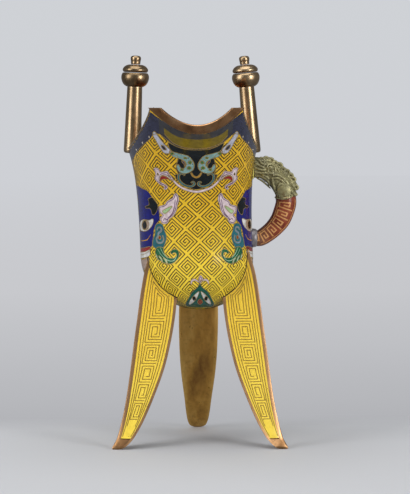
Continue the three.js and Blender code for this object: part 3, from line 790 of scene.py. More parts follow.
class Paint:
    """Short names for the shader nodes that the finishes here are mixed from."""

    def __init__(self, name):
        self.material = bpy.data.materials.new(name)
        self.material.use_nodes = True
        self.tree = self.material.node_tree
        self.shader = self.tree.nodes["Principled BSDF"]
        self.place = self.node("ShaderNodeTexCoord").outputs["Object"]

    def node(self, kind, **settings):
        made = self.tree.nodes.new(kind)
        for key, value in settings.items():
            setattr(made, key, value)
        return made

    def link(self, source, target):
        self.tree.links.new(source, target)

    def stretched(self, scale):
        made = self.node("ShaderNodeMapping")
        made.inputs["Scale"].default_value = scale
        self.link(self.place, made.inputs["Vector"])
        return made.outputs[0]

    def noise(self, scale, detail=3.0, rough=0.55, place=None):
        made = self.node("ShaderNodeTexNoise")
        made.inputs["Scale"].default_value = scale
        made.inputs["Detail"].default_value = detail
        made.inputs["Roughness"].default_value = rough
        self.link(place or self.place, made.inputs["Vector"])
        return made.outputs["Fac"]

    def specks(self, scale, size):
        """1 in small round specks, 0 elsewhere."""
        made = self.node("ShaderNodeTexVoronoi")
        made.inputs["Scale"].default_value = scale
        self.link(self.place, made.inputs["Vector"])
        return self.ramp(made.outputs["Distance"], [(size * 0.6, 1.0), (size, 0.0)])

    def ramp(self, value, stops):
        """A value or colour ramp: stops are (place, number or colour)."""
        made = self.node("ShaderNodeValToRGB")
        band = made.color_ramp
        while len(band.elements) < len(stops):
            band.elements.new(0.5)
        for element, (spot, colour) in zip(band.elements, stops):
            element.position = spot
            element.color = linear(colour) if isinstance(colour, tuple) else (colour,) * 3 + (1.0,)
        self.link(value, made.inputs[0])
        return made.outputs[0]

    def mix(self, factor, a, b, blend="MIX"):
        made = self.node("ShaderNodeMix", data_type="RGBA", blend_type=blend)
        for socket, value in zip((made.inputs[0], made.inputs[6], made.inputs[7]), (factor, a, b)):
            if isinstance(value, tuple):
                socket.default_value = linear(value)
            elif isinstance(value, float):
                socket.default_value = value
            else:
                self.link(value, socket)
        return made.outputs[2]

    def times(self, a, b, operation="MULTIPLY"):
        made = self.node("ShaderNodeMath", operation=operation)
        for socket, value in zip(made.inputs, (a, b)):
            if isinstance(value, float):
                socket.default_value = value
            else:
                self.link(value, socket)
        return made.outputs[0]

    def along(self, axis, low, high):
        """0 to 1 between two places along an axis of the part, in metres."""
        split = self.node("ShaderNodeSeparateXYZ")
        self.link(self.place, split.inputs[0])
        made = self.node("ShaderNodeMapRange")
        made.inputs["From Min"].default_value = low
        made.inputs["From Max"].default_value = high
        self.link(split.outputs["XYZ".index(axis)], made.inputs["Value"])
        return made.outputs[0]

    def bump(self, height, strength, distance):
        made = self.node("ShaderNodeBump")
        made.inputs["Strength"].default_value = strength
        made.inputs["Distance"].default_value = distance
        self.link(height, made.inputs["Height"])
        self.link(made.outputs[0], self.shader.inputs["Normal"])

    def set(self, name, value):
        socket = self.shader.inputs[name]
        if hasattr(value, "is_output"):
            self.link(value, socket)
        elif isinstance(value, tuple):
            socket.default_value = linear(value)
        else:
            socket.default_value = value


def once(maker):
    """Makes a finish the first time it is asked for."""
    made = {}

    def get(*given):
        if given not in made:
            made[given] = maker(*given)
        return made[given]

    return get


def gloss(paint, low=0.1, high=0.24):
    """Fired enamel: polished, with soft waves and a few pits."""
    paint.set("Roughness", paint.ramp(paint.noise(220.0), [(0.35, low), (0.7, high)]))
    paint.set("Metallic", 0.0)
    paint.set("IOR", 1.52)
    paint.set("Specular IOR Level", 0.4)
    waves = paint.noise(90.0, 1.0)
    pits = paint.specks(420.0, 0.1)
    paint.bump(paint.times(waves, paint.times(pits, -0.6), "ADD"), 0.12, 0.0006)


@once
def ground_enamel(name, lemon, amber, low, high):
    """Yellow ground: lemon low down and amber towards the mouth, clouded and specked."""
    paint = Paint(name)
    height = paint.along("Z", low, high)
    cloud = paint.noise(45.0, 4.0)
    shift = paint.times(height, paint.times(cloud, 0.55), "ADD")
    base = paint.ramp(shift, [(0.32, lemon), (1.15, amber)])
    fine = paint.mix(paint.ramp(paint.noise(600.0, 2.0), [(0.45, 0.0), (0.8, 0.22)]), base, (150, 112, 24))
    paint.set("Base Color", paint.mix(paint.specks(230.0, 0.07), fine, (70, 44, 18)))
    gloss(paint)
    return paint.material


@once
def cell_enamel():
    """Every coloured cell: its own tint, mottled and shaded as fired glass is."""
    paint = Paint("Cell enamels")
    tint = paint.node("ShaderNodeAttribute", attribute_name="tint").outputs["Color"]
    cloud = paint.ramp(paint.noise(320.0, 4.0), [(0.3, 0.62), (0.72, 1.0)])
    mottled = paint.mix(1.0, tint, cloud, "MULTIPLY")
    paint.set("Base Color", paint.mix(paint.specks(380.0, 0.08), mottled, (34, 26, 22)))
    gloss(paint)
    return paint.material


@once
def metal(name, pale, mid, dark, rough, metallic, streak=(1.0, 1.0, 1.0)):
    """Gilt or copper: worn pale on edges, brown where the gilding has thinned."""
    paint = Paint(name)
    place = paint.stretched(streak)
    cloud = paint.noise(70.0, 5.0, 0.6, place)
    base = paint.ramp(cloud, [(0.32, dark), (0.5, mid), (0.7, pale)])
    pointy = paint.node("ShaderNodeNewGeometry").outputs["Pointiness"]
    edge = paint.ramp(pointy, [(0.505, 0.0), (0.56, 0.75)])
    grime = paint.ramp(paint.noise(420.0, 3.0), [(0.5, 0.0), (0.75, 0.4)])
    worn = paint.mix(edge, paint.mix(grime, base, dark), pale)
    paint.set("Base Color", worn)
    paint.set("Metallic", metallic)
    paint.set("Roughness", paint.ramp(paint.noise(160.0, 4.0, 0.6, place), [(0.3, rough * 0.75), (0.7, rough * 1.35)]))
    paint.bump(paint.noise(500.0, 3.0, 0.6, place), 0.1, 0.0003)
    return paint.material


@once
def handle_enamel():
    """Brick-red enamel that turns brown and grey towards the bowl."""
    paint = Paint("Handle enamel")
    fade = paint.along("X", 0.0315, 0.0445)
    cloud = paint.noise(160.0, 4.0)
    red = paint.ramp(cloud, [(0.3, (98, 40, 26)), (0.55, (138, 64, 40)), (0.75, (156, 88, 54))])
    brown = paint.ramp(cloud, [(0.35, (92, 66, 50)), (0.6, (126, 98, 76)), (0.75, (116, 124, 138))])
    paint.set("Base Color", paint.mix(paint.times(fade, paint.times(cloud, 0.3), "ADD"), brown, red))
    gloss(paint, 0.2, 0.36)
    return paint.material


@once
def patina():
    """Cast bronze under green enamel and patina, with brown metal showing in places. Its high places are painted pale,
    partly as rubbed wear and partly as painted highlight, and its hollows dark, partly as patina and partly as painted
    shade.
    """
    paint = Paint("Patinated bronze")
    cloud = paint.noise(130.0, 5.0, 0.65)
    base = paint.ramp(cloud, [
        (0.3, (72, 66, 42)), (0.45, (124, 118, 82)), (0.58, (156, 150, 108)), (0.72, (124, 104, 68))])
    pointy = paint.node("ShaderNodeNewGeometry").outputs["Pointiness"]
    # Hollows darkened: partly dark patina, partly painted shade
    hollow_patina_and_shade = paint.ramp(pointy, [(0.42, 1.0), (0.49, 0.0)])
    # High places paled: partly rubbed wear, partly painted highlight
    ridge = paint.ramp(pointy, [(0.51, 0.0), (0.57, 0.85)])
    shaded = paint.mix(hollow_patina_and_shade, base, (30, 24, 14))
    paint.set("Base Color", paint.mix(ridge, shaded, (206, 200, 156)))
    paint.set("Metallic", paint.ramp(cloud, [(0.4, 0.25), (0.7, 0.7)]))
    paint.set("Roughness", paint.ramp(paint.noise(240.0), [(0.3, 0.3), (0.7, 0.52)]))
    paint.bump(paint.noise(700.0, 4.0, 0.65), 0.3, 0.0004)
    return paint.material


def leiwen_wire():
    return metal("Dark fret wire", (60, 44, 12), (38, 27, 7), (22, 16, 5), 0.5, 0.1)


def leg_wire():
    return metal("Leg fret wire", (150, 118, 46), (112, 86, 30), (74, 54, 18), 0.42, 0.3)


def cell_wire():
    return metal("Gilt cell wire", (206, 176, 108), (120, 88, 44), (60, 42, 22), 0.35, 0.7)


def gilt():
    return metal("Worn gilding", (210, 186, 150), (170, 144, 110), (104, 84, 58), 0.3, 1.0, (1.0, 1.0, 0.25))


def copper():
    return metal("Aged copper", (214, 168, 124), (176, 126, 84), (112, 76, 50), 0.24, 1.0)


def slate_metal():
    return metal("Grey-blue glazed metal", (176, 172, 174), (130, 124, 126), (80, 70, 66), 0.35, 0.3)


# Painted highlight: the flange's pale yellow is partly its own enamel and partly a painted highlight where the head
# meets the bowl
def flange_enamel_and_highlight():
    return ground_enamel("Pale flange enamel", (214, 204, 112), (190, 184, 96), 0.15, 0.18)


def edge_gilt():
    return metal("Rubbed edge gilding", (206, 160, 114), (154, 112, 70), (92, 64, 40), 0.34, 0.8, (1.0, 1.0, 0.22))


def leg_gilt():
    return metal("Brown gilding", (228, 184, 102), (190, 142, 66), (124, 86, 42), 0.34, 0.7, (1.0, 1.0, 0.22))


# Settings
class JueSizes(bpy.types.PropertyGroup):
    """Sizes of the fine work on the surface."""

    fret_wire: bpy.props.FloatProperty(
        name="Fret wire", description="Width of the wires of the key-fret ground",
        default=0.00056, min=0.0002, max=0.001, unit="LENGTH")
    cell_wire: bpy.props.FloatProperty(
        name="Cell wire", description="Width of the wires round the coloured cells",
        default=0.00034, min=0.0002, max=0.001, unit="LENGTH")
    fret_pitch: bpy.props.FloatProperty(
        name="Fret pitch", description="Distance from one turn of a spiral to the next",
        default=0.00147, min=0.001, max=0.003, unit="LENGTH")
    fret_columns: bpy.props.IntProperty(
        name="Fret columns", description="Diamonds in one row round the bowl",
        default=14, min=8, max=24)
    fret_row: bpy.props.FloatProperty(
        name="Fret row", description="Height from one row of diamonds to the next but one",
        default=0.015, min=0.01, max=0.03, unit="LENGTH")
    camera_turn: bpy.props.FloatProperty(
        name="Camera turn", description="How far the camera stands round from the spout's middle",
        default=math.radians(-2.8), subtype="ANGLE")


class JueColours(bpy.types.PropertyGroup):
    """Colours of the yellow grounds, as linear values."""

    lemon: bpy.props.FloatVectorProperty(
        name="Lemon", description="Yellow low on the bowl", subtype="COLOR", size=3,
        default=linear((240, 208, 64))[:3], min=0, max=1)
    amber: bpy.props.FloatVectorProperty(
        name="Amber", description="Yellow near the mouth", subtype="COLOR", size=3,
        default=linear((224, 178, 38))[:3], min=0, max=1)
    leg_yellow: bpy.props.FloatVectorProperty(
        name="Leg yellow", description="Yellow of the legs", subtype="COLOR", size=3,
        default=linear((236, 206, 76))[:3], min=0, max=1)


def as_seen(colour):
    """A linear colour back as 0 to 255 values."""
    return tuple(255 * (12.92 * c if c <= 0.0031308 else 1.055 * c ** (1 / 2.4) - 0.055) for c in colour)


# Operators
HALF_ANGLES = (list(np.linspace(0, HORN_ANGLE, 21)[:-1]) + list(np.linspace(HORN_ANGLE, 90, 43)[:-1])
               + list(np.linspace(90, 180, 61)))
WALL_ANGLES = HALF_ANGLES + [-a for a in HALF_ANGLES[-2:0:-1]]
WALL_LEVELS = list(np.linspace(0.02, 1, 26)[:-1]) + list(np.linspace(1, 2, 56))


def wall_shell(name, outer, inner):
    outside = [[wall_under(a, level, outer) for a in WALL_ANGLES] for level in WALL_LEVELS]
    inside_rings = [[wall_under(a, level, inner) for a in WALL_ANGLES] for level in reversed(WALL_LEVELS)]
    rings = [leaned(ring) for ring in outside + inside_rings]
    return ring_body(name, rings, 45)


class JUE_OT_bowl(bpy.types.Operator):
    """Enamel coat and copper shell of the bowl"""

    bl_idname = "jue.bowl"
    bl_label = "Bowl"

    def execute(self, context):
        colours = context.scene.jue_colours
        coat = wall_shell("bowl_enamel", 0.0, ENAMEL)
        finish = ground_enamel("Yellow ground", as_seen(colours.lemon), as_seen(colours.amber), 0.100, 0.178)
        finish_piece(coat, finish, ["body_enamel"])
        shell = wall_shell("bowl_copper", COPPER_OUT, COPPER_IN)
        finish_piece(shell, copper(), ["body_shell"])
        return {"FINISHED"}


def key_meander(wide, high):
    """One unit of a Greek key, as an S of right-angled turns."""
    return [(-wide, -high), (wide, -high), (wide, high * 0.55), (-wide * 0.45, high * 0.55),
            (-wide * 0.45, -high * 0.25), (wide * 0.35, -high * 0.25)]


def key_spiral(half_wide, half_high, pitch):
    """A square spiral from its outer corner inwards."""
    x, y = half_wide, half_high
    points = [(-x, -y), (x, -y), (x, y), (-x, y)]
    while x > pitch * 0.6 and y > pitch * 0.6:
        points.append((-x, -y + pitch))
        x, y = x - pitch, y - pitch
        if x < pitch * 0.3 or y < pitch * 0.3:
            points.append((x * 0.5, -y))
            break
        points += [(x, -y), (x, y), (-x, y)]
    return points


class JUE_OT_fret(bpy.types.Operator):
    """Key-fret ground of the bowl: one spiral laid in staggered rows by the node tree"""

    bl_idname = "jue.fret"
    bl_label = "Fret ground"

    def execute(self, context):
        sizes = context.scene.jue_sizes
        pitch, width = sizes.fret_pitch * 1000, sizes.fret_wire * 1000
        column, row = ROUND / sizes.fret_columns, sizes.fret_row * 1000
        side = math.hypot(column, row) / 2
        half = (side - pitch * 1.4) / 2
        spiral = [np.array(p) for p in key_spiral(half, half, pitch)]
        skew = np.array([[column, -column], [row, row]]) / (2 * side)
        drawing = Drawing()
        drawing.wire([skew @ p for p in spiral], width, 0.05, step=2.2)
        shift = 0.9 * MM_PER_DEGREE
        places = []
        for k in range(-8, 9):
            for i in range(sizes.fret_columns):
                places.append(((i + 0.5 * (k % 2)) * column + shift - ROUND / 2, 19.8 + k * row / 2))
        wires = inlay("bowl_fret_wires", drawing, fret_carrier(), leiwen_wire(), places)
        finish_piece(wires, leiwen_wire())
        return {"FINISHED"}


BOWL = once(bowl_carrier)


def fret_carrier():
    """The bowl's carrier with its upper columns moved, so that from the front the fret closes up
    towards the sides as it would on a round bowl."""
    plain = BOWL()
    angles = np.arange(-180, 181, 1.0)
    front = angles[90:271]
    points, normals = plain.points.copy(), plain.normals.copy()
    for j in range(points.shape[1]):
        share = min(max((DRAWING_LOW + j - 15) / 30, 0), 1)
        across = plain.points[90:271, j, 0]
        middle, reach = (across[-1] + across[0]) / 2, (across[-1] - across[0]) / 2
        wanted = np.interp(middle + reach * np.sin(np.radians(front)), across, front)
        target = angles.copy()
        target[90:271] = lerp(front, wanted, 3 * share ** 2 - 2 * share ** 3)
        for k in range(3):
            points[:, j, k] = np.interp(target, angles, plain.points[:, j, k])
            normals[:, j, k] = np.interp(target, angles, plain.normals[:, j, k])
    normals /= np.linalg.norm(normals, axis=2)[:, :, None]
    return Carrier("fret_carrier", points, normals, plain.span_across, plain.span_up, plain.origin)


def on_flat(points):
    """Drawing coordinates for (angle, height) pairs."""
    return [(a * MM_PER_DEGREE, flat_height(z)) for a, z in points]


def stroke_outline(points, width):
    """Outline of a tapered stroke along a line."""
    line = curve_through(points, 4, False)
    count = len(line)
    left, right = [], []
    for i, p in enumerate(line):
        along = line[min(i + 1, count - 1)] - line[max(i - 1, 0)]
        along = along / max(np.linalg.norm(along), 1e-9)
        side = np.array([-along[1], along[0]]) * width / 2 * (0.55 + 0.45 * math.sin(math.pi * i / (count - 1)))
        left.append(p + side)
        right.append(p - side)
    return left + right[::-1]


def shrunk(outline, distance):
    """The outline moved inwards."""
    line = np.array(outline, float)
    along = np.roll(line, -1, 0) - np.roll(line, 1, 0)
    along /= np.maximum(np.linalg.norm(along, axis=1), 1e-9)[:, None]
    inward = np.stack([-along[:, 1], along[:, 0]], 1)
    area = np.sum(line[:, 0] * np.roll(line[:, 1], -1) - line[:, 1] * np.roll(line[:, 0], -1))
    moved = line + inward * distance * (1 if area > 0 else -1)
    kept = [p for p in moved if inside(p, [tuple(q) for q in line]) and nearest(p, line) > distance * 0.7]
    return kept if len(kept) > 3 else list(line)


def draw_rows(rows, cells, wires, wire_width, place):
    """Draws rows of an ornament. Place turns (angle, height) to where this copy stands."""
    for _, colour, layer, kind, points in rows:
        flat = on_flat([place(a, z) for a, z in points])
        if kind == "cell":
            outline = curve_through(flat, 3, True)
        else:
            outline = stroke_outline(flat, kind)
        top = 0.07 + 0.02 * layer
        cells.cell(outline, top, ENAMELS[colour])
        if kind == "cell" or kind > 0.6:
            wires.wire(outline, wire_width, top + 0.03, closed=True)
        if colour == "pink" and kind == "cell":
            cells.wire(shrunk(outline, 0.75), 0.34, top + 0.02, closed=True, tint=ENAMELS["plum"])


def centred(rows, centre):
    """The rows with their mirror images. A shape that touches the middle becomes one with its image."""
    whole = []
    for name, colour, layer, kind, points in rows:
        mirrored = [(2 * centre - a, z) for a, z in reversed(points)]
        if any(a == centre for a, _ in points):
            whole.append((name, colour, layer, kind, points + [p for p in mirrored if p[0] != centre]))
        elif name == "bud":
            whole.append((name, colour, layer, kind, points))
        else:
            whole += [(name, colour, layer, kind, points), (name + "_b", colour, layer, kind, mirrored)]
    return whole


def tinted(name, drawing, carrier):
    """An object of enamel cells, with the colour of each as an attribute."""
    piece = new_object(name, carrier.place(drawing.points), drawing.faces, recalc=False)
    turn_outward(piece.data)
    attribute = piece.data.attributes.new("tint", "FLOAT_COLOR", "POINT")
    for item, tint in zip(attribute.data, drawing.tints):
        item.color = linear(tint)
    piece.data.set_sharp_from_angle(angle=math.radians(50))
    return piece


def edge_at(line, angle):
    return smooth(line, abs(angle))


def band_cells(drawing, low_line, top_line, from_angle, to_angle, top, colour):
    """A strip of enamel between two lines round the bowl, closed below."""
    angles = np.arange(from_angle, to_angle + 0.1, 1.5)
    rows = 9
    closed = abs(to_angle - from_angle) > 359
    if closed:
        angles = angles[:-1]
    columns = len(angles)
    points = []
    for height in (top, -WIRE_SINK):
        for angle in angles:
            low, high = flat_height(edge_at(low_line, angle)), top_line(angle)
            for k in range(rows):
                points.append((angle * MM_PER_DEGREE, lerp(low, high, k / (rows - 1)), height))
    faces = []
    bottom = columns * rows
    for i in range(columns if closed else columns - 1):
        j = (i + 1) % columns
        for k in range(rows - 1):
            a, b = i * rows + k, j * rows + k
            faces.append((a, b, b + 1, a + 1))
            faces.append((a + bottom, a + 1 + bottom, b + 1 + bottom, b + bottom))
        a, b = i * rows, j * rows
        faces.append((a, a + bottom, b + bottom, b))
        a, b = i * rows + rows - 1, j * rows + rows - 1
        faces.append((b, b + bottom, a + bottom, a))
    if not closed:
        for k in range(rows - 1):
            faces.append((k, k + 1, k + 1 + bottom, k + bottom))
            end = (columns - 1) * rows + k
            faces.append((end + 1, end, end + bottom, end + 1 + bottom))
    drawing.add(points, faces, ENAMELS[colour])
    return [(a * MM_PER_DEGREE, flat_height(edge_at(low_line, a))) for a in angles]


class JUE_OT_ornament(bpy.types.Operator):
    """Collar, scrolls, beast masks and palmettes, as enamel cells edged with wire"""

    bl_idname = "jue.ornament"
    bl_label = "Ornament"

    def execute(self, context):
        width = context.scene.jue_sizes.cell_wire * 1000
        carrier = BOWL()
        collar, collar_wires = Drawing(), Drawing()
        over_rim = lambda angle: rim_point((angle + 180) % 360 - 180)[2] - BELLY_Z + 1.5
        band_cells(collar, COLLAR_LOW, over_rim, -180, 180, 0.07, "navy")
        line = on_flat([(a, edge_at(COLLAR_LOW, a)) for a in np.linspace(-179.9, 179.9, 240)])
        collar_wires.wire(line, width, 0.11)
        # The band between these edges is yellow enamel darkened as painted shade
        shade_darkened_top = lambda angle: edge_at(SHADE_DARKENED_TOP, angle)
        # The grey band over the front of the collar is painted shadow under the lip
        for top_line, low_line, colour, layer in (
                (over_rim, COLLAR_LOW, "lip_shadow_grey", 0.085), (shade_darkened_top, SHADE_DARKENED_LOW, "shade_darkened_yellow", 0.1)):
            reach = 23 if colour == "lip_shadow_grey" else 20
            line = band_cells(collar, low_line, top_line, -reach, reach, layer, colour)
            collar_wires.wire(line, width, layer + 0.03)
        self.white_dots(collar, collar_wires, width)
        front, masks, wires = Drawing(), Drawing(), Drawing()
        middle = centred(FRONT, FRONT_CENTRE)
        draw_rows(middle, front, wires, width, lambda a, z: (a - TURNED, z))
        draw_rows(middle, front, wires, width,
                  lambda a, z: (a + 180 - FRONT_CENTRE, z - (BACK_DROP if z > 31 else 0)))
        whole = centred(MASK, -90)
        draw_rows(whole, masks, wires, width, lambda a, z: (a - TURNED, z))
        draw_rows(whole, masks, wires, width, lambda a, z: (2 * MASK_CENTRE - a - TURNED, z))
        for name, drawing in (("collar_cells", collar), ("scroll_cells", front), ("mask_cells", masks)):
            finish_piece(tinted(name, drawing, carrier), cell_enamel())
        finish_piece(inlay("collar_wires", collar_wires, carrier, cell_wire()), cell_wire())
        finish_piece(inlay("ornament_wires", wires, carrier, cell_wire()), cell_wire())
        return {"FINISHED"}

    def white_dots(self, cells, wires, width):
        for angle in (38, 53, 66, 100, 118, 136, 154, 168):
            for side in (-1, 1):
                u, v = side * angle * MM_PER_DEGREE, edge_at(COLLAR_LOW, angle) + 1.5
                outline = [np.array([u + 0.65 * math.cos(t), v + 0.65 * math.sin(t)])
                           for t in np.linspace(0, 2 * math.pi, 10)[:-1]]
                cells.cell(outline, 0.1, ENAMELS["white"])
                wires.wire(outline, width * 0.7, 0.12, closed=True)


def rounded_section(half_a, half_b, power=0.45, count=16):
    """Points of a rounded rectangle as pairs of shares."""
    section = []
    for t in np.linspace(0, 2 * math.pi, count, endpoint=False) + math.pi / count:
        c, s = math.cos(t), math.sin(t)
        section.append((half_a * math.copysign(abs(c) ** power, c), half_b * math.copysign(abs(s) ** power, s)))
    return section


class JUE_OT_mouth(bpy.types.Operator):
    """Gilt strip round the mouth and the thick lip that closes the spout"""

    bl_idname = "jue.mouth"
    bl_label = "Mouth"

    def execute(self, context):
        rings = []
        side = [HORN_ANGLE + 0.3] + [a for a in HALF_ANGLES if a > HORN_ANGLE]
        for angle in side + [-a for a in side[-2::-1]]:
            outer = wall_under(angle, 2, -0.3)
            inner = wall_under(angle, 2, COPPER_IN + 0.3)
            middle, across = (outer + inner) / 2, (outer - inner) / 2
            lift = np.array([0, 0, 1.0])
            rings.append(leaned([middle + across * a + lift * (1.05 + b)
                                 for a, b in rounded_section(1.0, 0.75)]))
        band = ring_body("rim_strip", rings)
        finish_piece(band, gilt(), ["rim_band"])
        edge, width, high = HORN[0] + 1.1, 7.6, HORN_TOP_Z
        outer = [(-edge, high), (0, 2 * (LIP_LOW_Z - 0.9) - high), (edge, high)]
        inner = [(-edge + width, high), (0, 2 * (LIP_LOW_Z + 4.4) - high), (edge - width, high)]
        rings = []
        for t in np.linspace(0, 1, 49):
            a, b = bezier(outer, t), bezier(inner, t)
            middle, across = (a + b) / 2, (a - b) / 2
            ring = []
            for p, q in rounded_section(1.0, 1.5, 0.6, 20):
                spot = middle + across * p
                ring.append((spot[0], -SPOUT_REACH + 1.5 + q, spot[1]))
            rings.append(leaned(ring))
        lip = ring_body("mouth_lip", rings)
        finish_piece(lip, copper(), ["spout_lip"])
        return {"FINISHED"}


# Legs
def leg_sizes(z):
    share = z / BOTTOM_Z
    ridge = BELLY_X + (FOOT_REACH - BELLY_X) * smooth(RIDGE_LINE, share)
    depth = LEG_DEPTH * smooth(DEPTH_LINE, share)
    return ridge - depth, depth, LEG_WIDTH * smooth(WIDTH_LINE, share) / 2


def face_length(z):
    _, depth, half = leg_sizes(z)
    return math.hypot(depth, half)


def face_point(z, side, run, sink):
    back, depth, half = leg_sizes(z)
    length = math.hypot(depth, half)
    return np.array([
        side * (half - run * half / length - sink * depth / length),
        back + run * depth / length - sink * half / length, z])


def at_angle(points, angle):
    turn = math.radians(angle - 90)
    c, s = math.cos(turn), math.sin(turn)
    points = np.array(points, float).reshape(-1, 3)
    return np.stack([points[:, 0] * c - points[:, 1] * s, points[:, 0] * s + points[:, 1] * c,
                     points[:, 2]], 1)


def kept_out(points, depth):
    """Points that would lie inside the bowl are moved out into its enamel."""
    points = np.array(points, float)
    for p in points:
        if p[2] <= BOTTOM_Z:
            continue
        axis = lean_shift(p[2])
        share = 1.0
        if p[2] < BELLY_Z:
            share = math.sqrt(1 - ((BELLY_Z - p[2]) / (BELLY_Z - BOTTOM_Z)) ** 2)
        a, b = BELLY_X * share - depth, BELLY_Y * share - depth
        if a <= 1 or b <= 1:
            continue
        x = p[0] - axis
        reach = math.hypot(x / a, p[1] / b)
        if 1e-6 < reach < 1:
            p[0], p[1] = axis + x / reach, p[1] / reach
    return points


def leg_heights(low):
    return [low + (LEG_TOP - low) * (i / 60) ** 1.15 for i in range(61)]


def leg_body(place, angle):
    """The gilt core of a leg, with a recess on each outer face."""
    rings = []
    for z in [0, 0.25, 0.8, 1.6, 2.8, 4.2, PANEL_LOW - 0.6] + leg_heights(PANEL_LOW):
        recess = PANEL_RECESS if z >= PANEL_LOW else 0
        shrink = 1 - 0.35 * max(0, 1 - z / 1.2) ** 2
        far = face_length(z) - RIDGE_STRIP
        near = min(PANEL_EDGE, far / 2)

        def face(side):
            spots = [(0.35, 0.0), (near, 0.0)]
            spots += [(run, recess) for run in np.linspace(near + 0.15, far - 0.15, 13)]
            spots += [(far, 0.0), (face_length(z) - 0.9, 0.0)]
            return [face_point(z, side, run, sink) for run, sink in spots]

        back, _, half = leg_sizes(z)
        tip = (face_point(z, 1, face_length(z) - 0.45, 0.12), face_point(z, -1, face_length(z) - 0.45, 0.12))
        rear = [np.array([x * half, back - 0.35 * (1 - x * x), z]) for x in np.linspace(-0.95, 0.95, 11)]
        ring = np.array(face(1) + list(tip) + face(-1)[::-1] + rear)
        centre = ring.mean(0)
        ring = centre + (ring - centre) * [shrink, shrink, 1]
        rings.append(kept_out(at_angle(ring, angle), 0.45))
    core = ring_body(f"leg_{place}_core", rings, 35)
    finish_piece(core, leg_gilt() if place == "rear" else edge_gilt(), [f"leg_{place}"])


def leg_panel(place, angle, side, label, material):
    rings = []
    for z in leg_heights(PANEL_LOW):
        far = face_length(z) - RIDGE_STRIP
        near = min(PANEL_EDGE, far / 2)
        shares = np.linspace(0, 1, 13)
        front = [face_point(z, side, lerp(near, far, t), 0.02 - 0.12 * math.sin(math.pi * t)) for t in shares]
        back = [face_point(z, side, lerp(far - 0.1, near + 0.1, t), PANEL_RECESS - 0.1) for t in shares]
        rings.append(np.concatenate([kept_out(at_angle(front, angle), 0.3), kept_out(at_angle(back, angle), 0.4)]))
    panel = ring_body(f"leg_{place}_panel_{label}", rings, 40)
    finish_piece(panel, material, [f"leg_{place}_enamel_{label}"])


def leg_carrier(angle, side):
    span_across, low, high = 24.0, 5.0, 121.0
    columns, rows = 25, 117
    points, normals = [], []
    for i in range(columns):
        for j in range(rows):
            z = lerp(low, high, j / (rows - 1))
            run = span_across * i / (columns - 1)
            far = face_length(z) - RIDGE_STRIP
            t = min(max((run - PANEL_EDGE) / max(far - PANEL_EDGE, 1), 0), 1)
            points.append(face_point(z, side, run, 0.02 - 0.12 * math.sin(math.pi * t)))
            _, depth, half = leg_sizes(z)
            length = math.hypot(depth, half)
            normals.append(np.array([side * depth / length, half / length, 0.25]))
    shape = (columns, rows, 3)
    normals = at_angle(normals, angle)
    normals /= np.linalg.norm(normals, axis=1)[:, None]
    spots = to_part(kept_out(at_angle(points, angle), 0.3)).reshape(shape)
    return Carrier("leg_carrier", spots, normals.reshape(shape), span_across, high - low, (0.0, low))


def meeting_heights(angle, side):
    """Height at which the face of a leg goes into the bowl, for runs 0 to 24."""
    found = []
    for run in range(25):
        height = LEG_TOP
        for z in np.arange(BOTTOM_Z + 0.5, LEG_TOP, 0.5):
            spot = at_angle([face_point(z, side, run, 0.0)], angle)
            if np.linalg.norm(kept_out(spot, -0.1) - spot) > 1e-6:
                height = z
                break
        found.append(height)
    return found


def clipped(line, limits, margin):
    """The line with what lies over the meeting with the bowl brought down to it."""
    kept = []
    for x, z in divided(line, 1.2):
        spot = np.array([x, min(z, np.interp(x, range(25), limits) - margin)])
        if not kept or np.linalg.norm(spot - kept[-1]) > 0.25:
            kept.append(spot)
    return kept


def border_width(z):
    """Width of the lined border on each side of a leg's spirals."""
    return min(4.4, (face_length(z) - RIDGE_STRIP - PANEL_EDGE) * 0.28)


def leg_drawing(limits):
    """Double border lines and a column of tall key spirals, in runs and heights of one face."""
    drawing = Drawing()
    width = bpy.context.scene.jue_sizes.fret_wire * 800
    far = lambda z: face_length(z) - RIDGE_STRIP
    heights = np.arange(PANEL_LOW + 1.0, LEG_TOP, 1.5)
    for share, low in ((0.34, 7.0), (0.7, 13.0)):
        rows = [z for z in heights if z > low]
        for line in ([(PANEL_EDGE + share * border_width(z), z) for z in rows],
                     [(far(z) - share * border_width(z), z) for z in rows]):
            drawing.wire(clipped(line, limits, 1.2), width, 0.07)
    for low, high in zip(LEG_CELLS, LEG_CELLS[1:]):
        middle = (low + high) / 2
        left, right = PANEL_EDGE + border_width(middle), far(middle) - border_width(middle)
        half_wide, half_high = (right - left) / 2, (high - low) / 2 - 0.8
        slope = (far(high) - far(low)) / (high - low) / 2
        centre = (left + right) / 2
        pitch = min(1.6, half_wide * 0.62)
        line = []
        for turn, (x, y) in enumerate(key_spiral(half_wide, half_high, pitch)):
            spot = np.array([centre + x + slope * y, middle + y])
            if line:
                line += clipped([line[-1], spot], limits, 2.5 + pitch * (turn // 4))[1:]
            else:
                line.append(spot)
        drawing.wire(line, width, 0.07)
    return drawing


def solid_wire(name, line, radius):
    """A round wire through points in the maker's frame."""
    shape = bmesh.new()
    tube_mesh(shape, line, [radius] * len(line), 8)
    for vert in shape.verts:
        vert.co = Vector(to_part([vert.co])[0])
    mesh = bpy.data.meshes.new(name)
    shape.to_mesh(mesh)
    shape.free()
    turn_outward(mesh)
    mesh.shade_smooth()
    made = bpy.data.objects.new(name, mesh)
    bpy.context.scene.collection.objects.link(made)
    return made


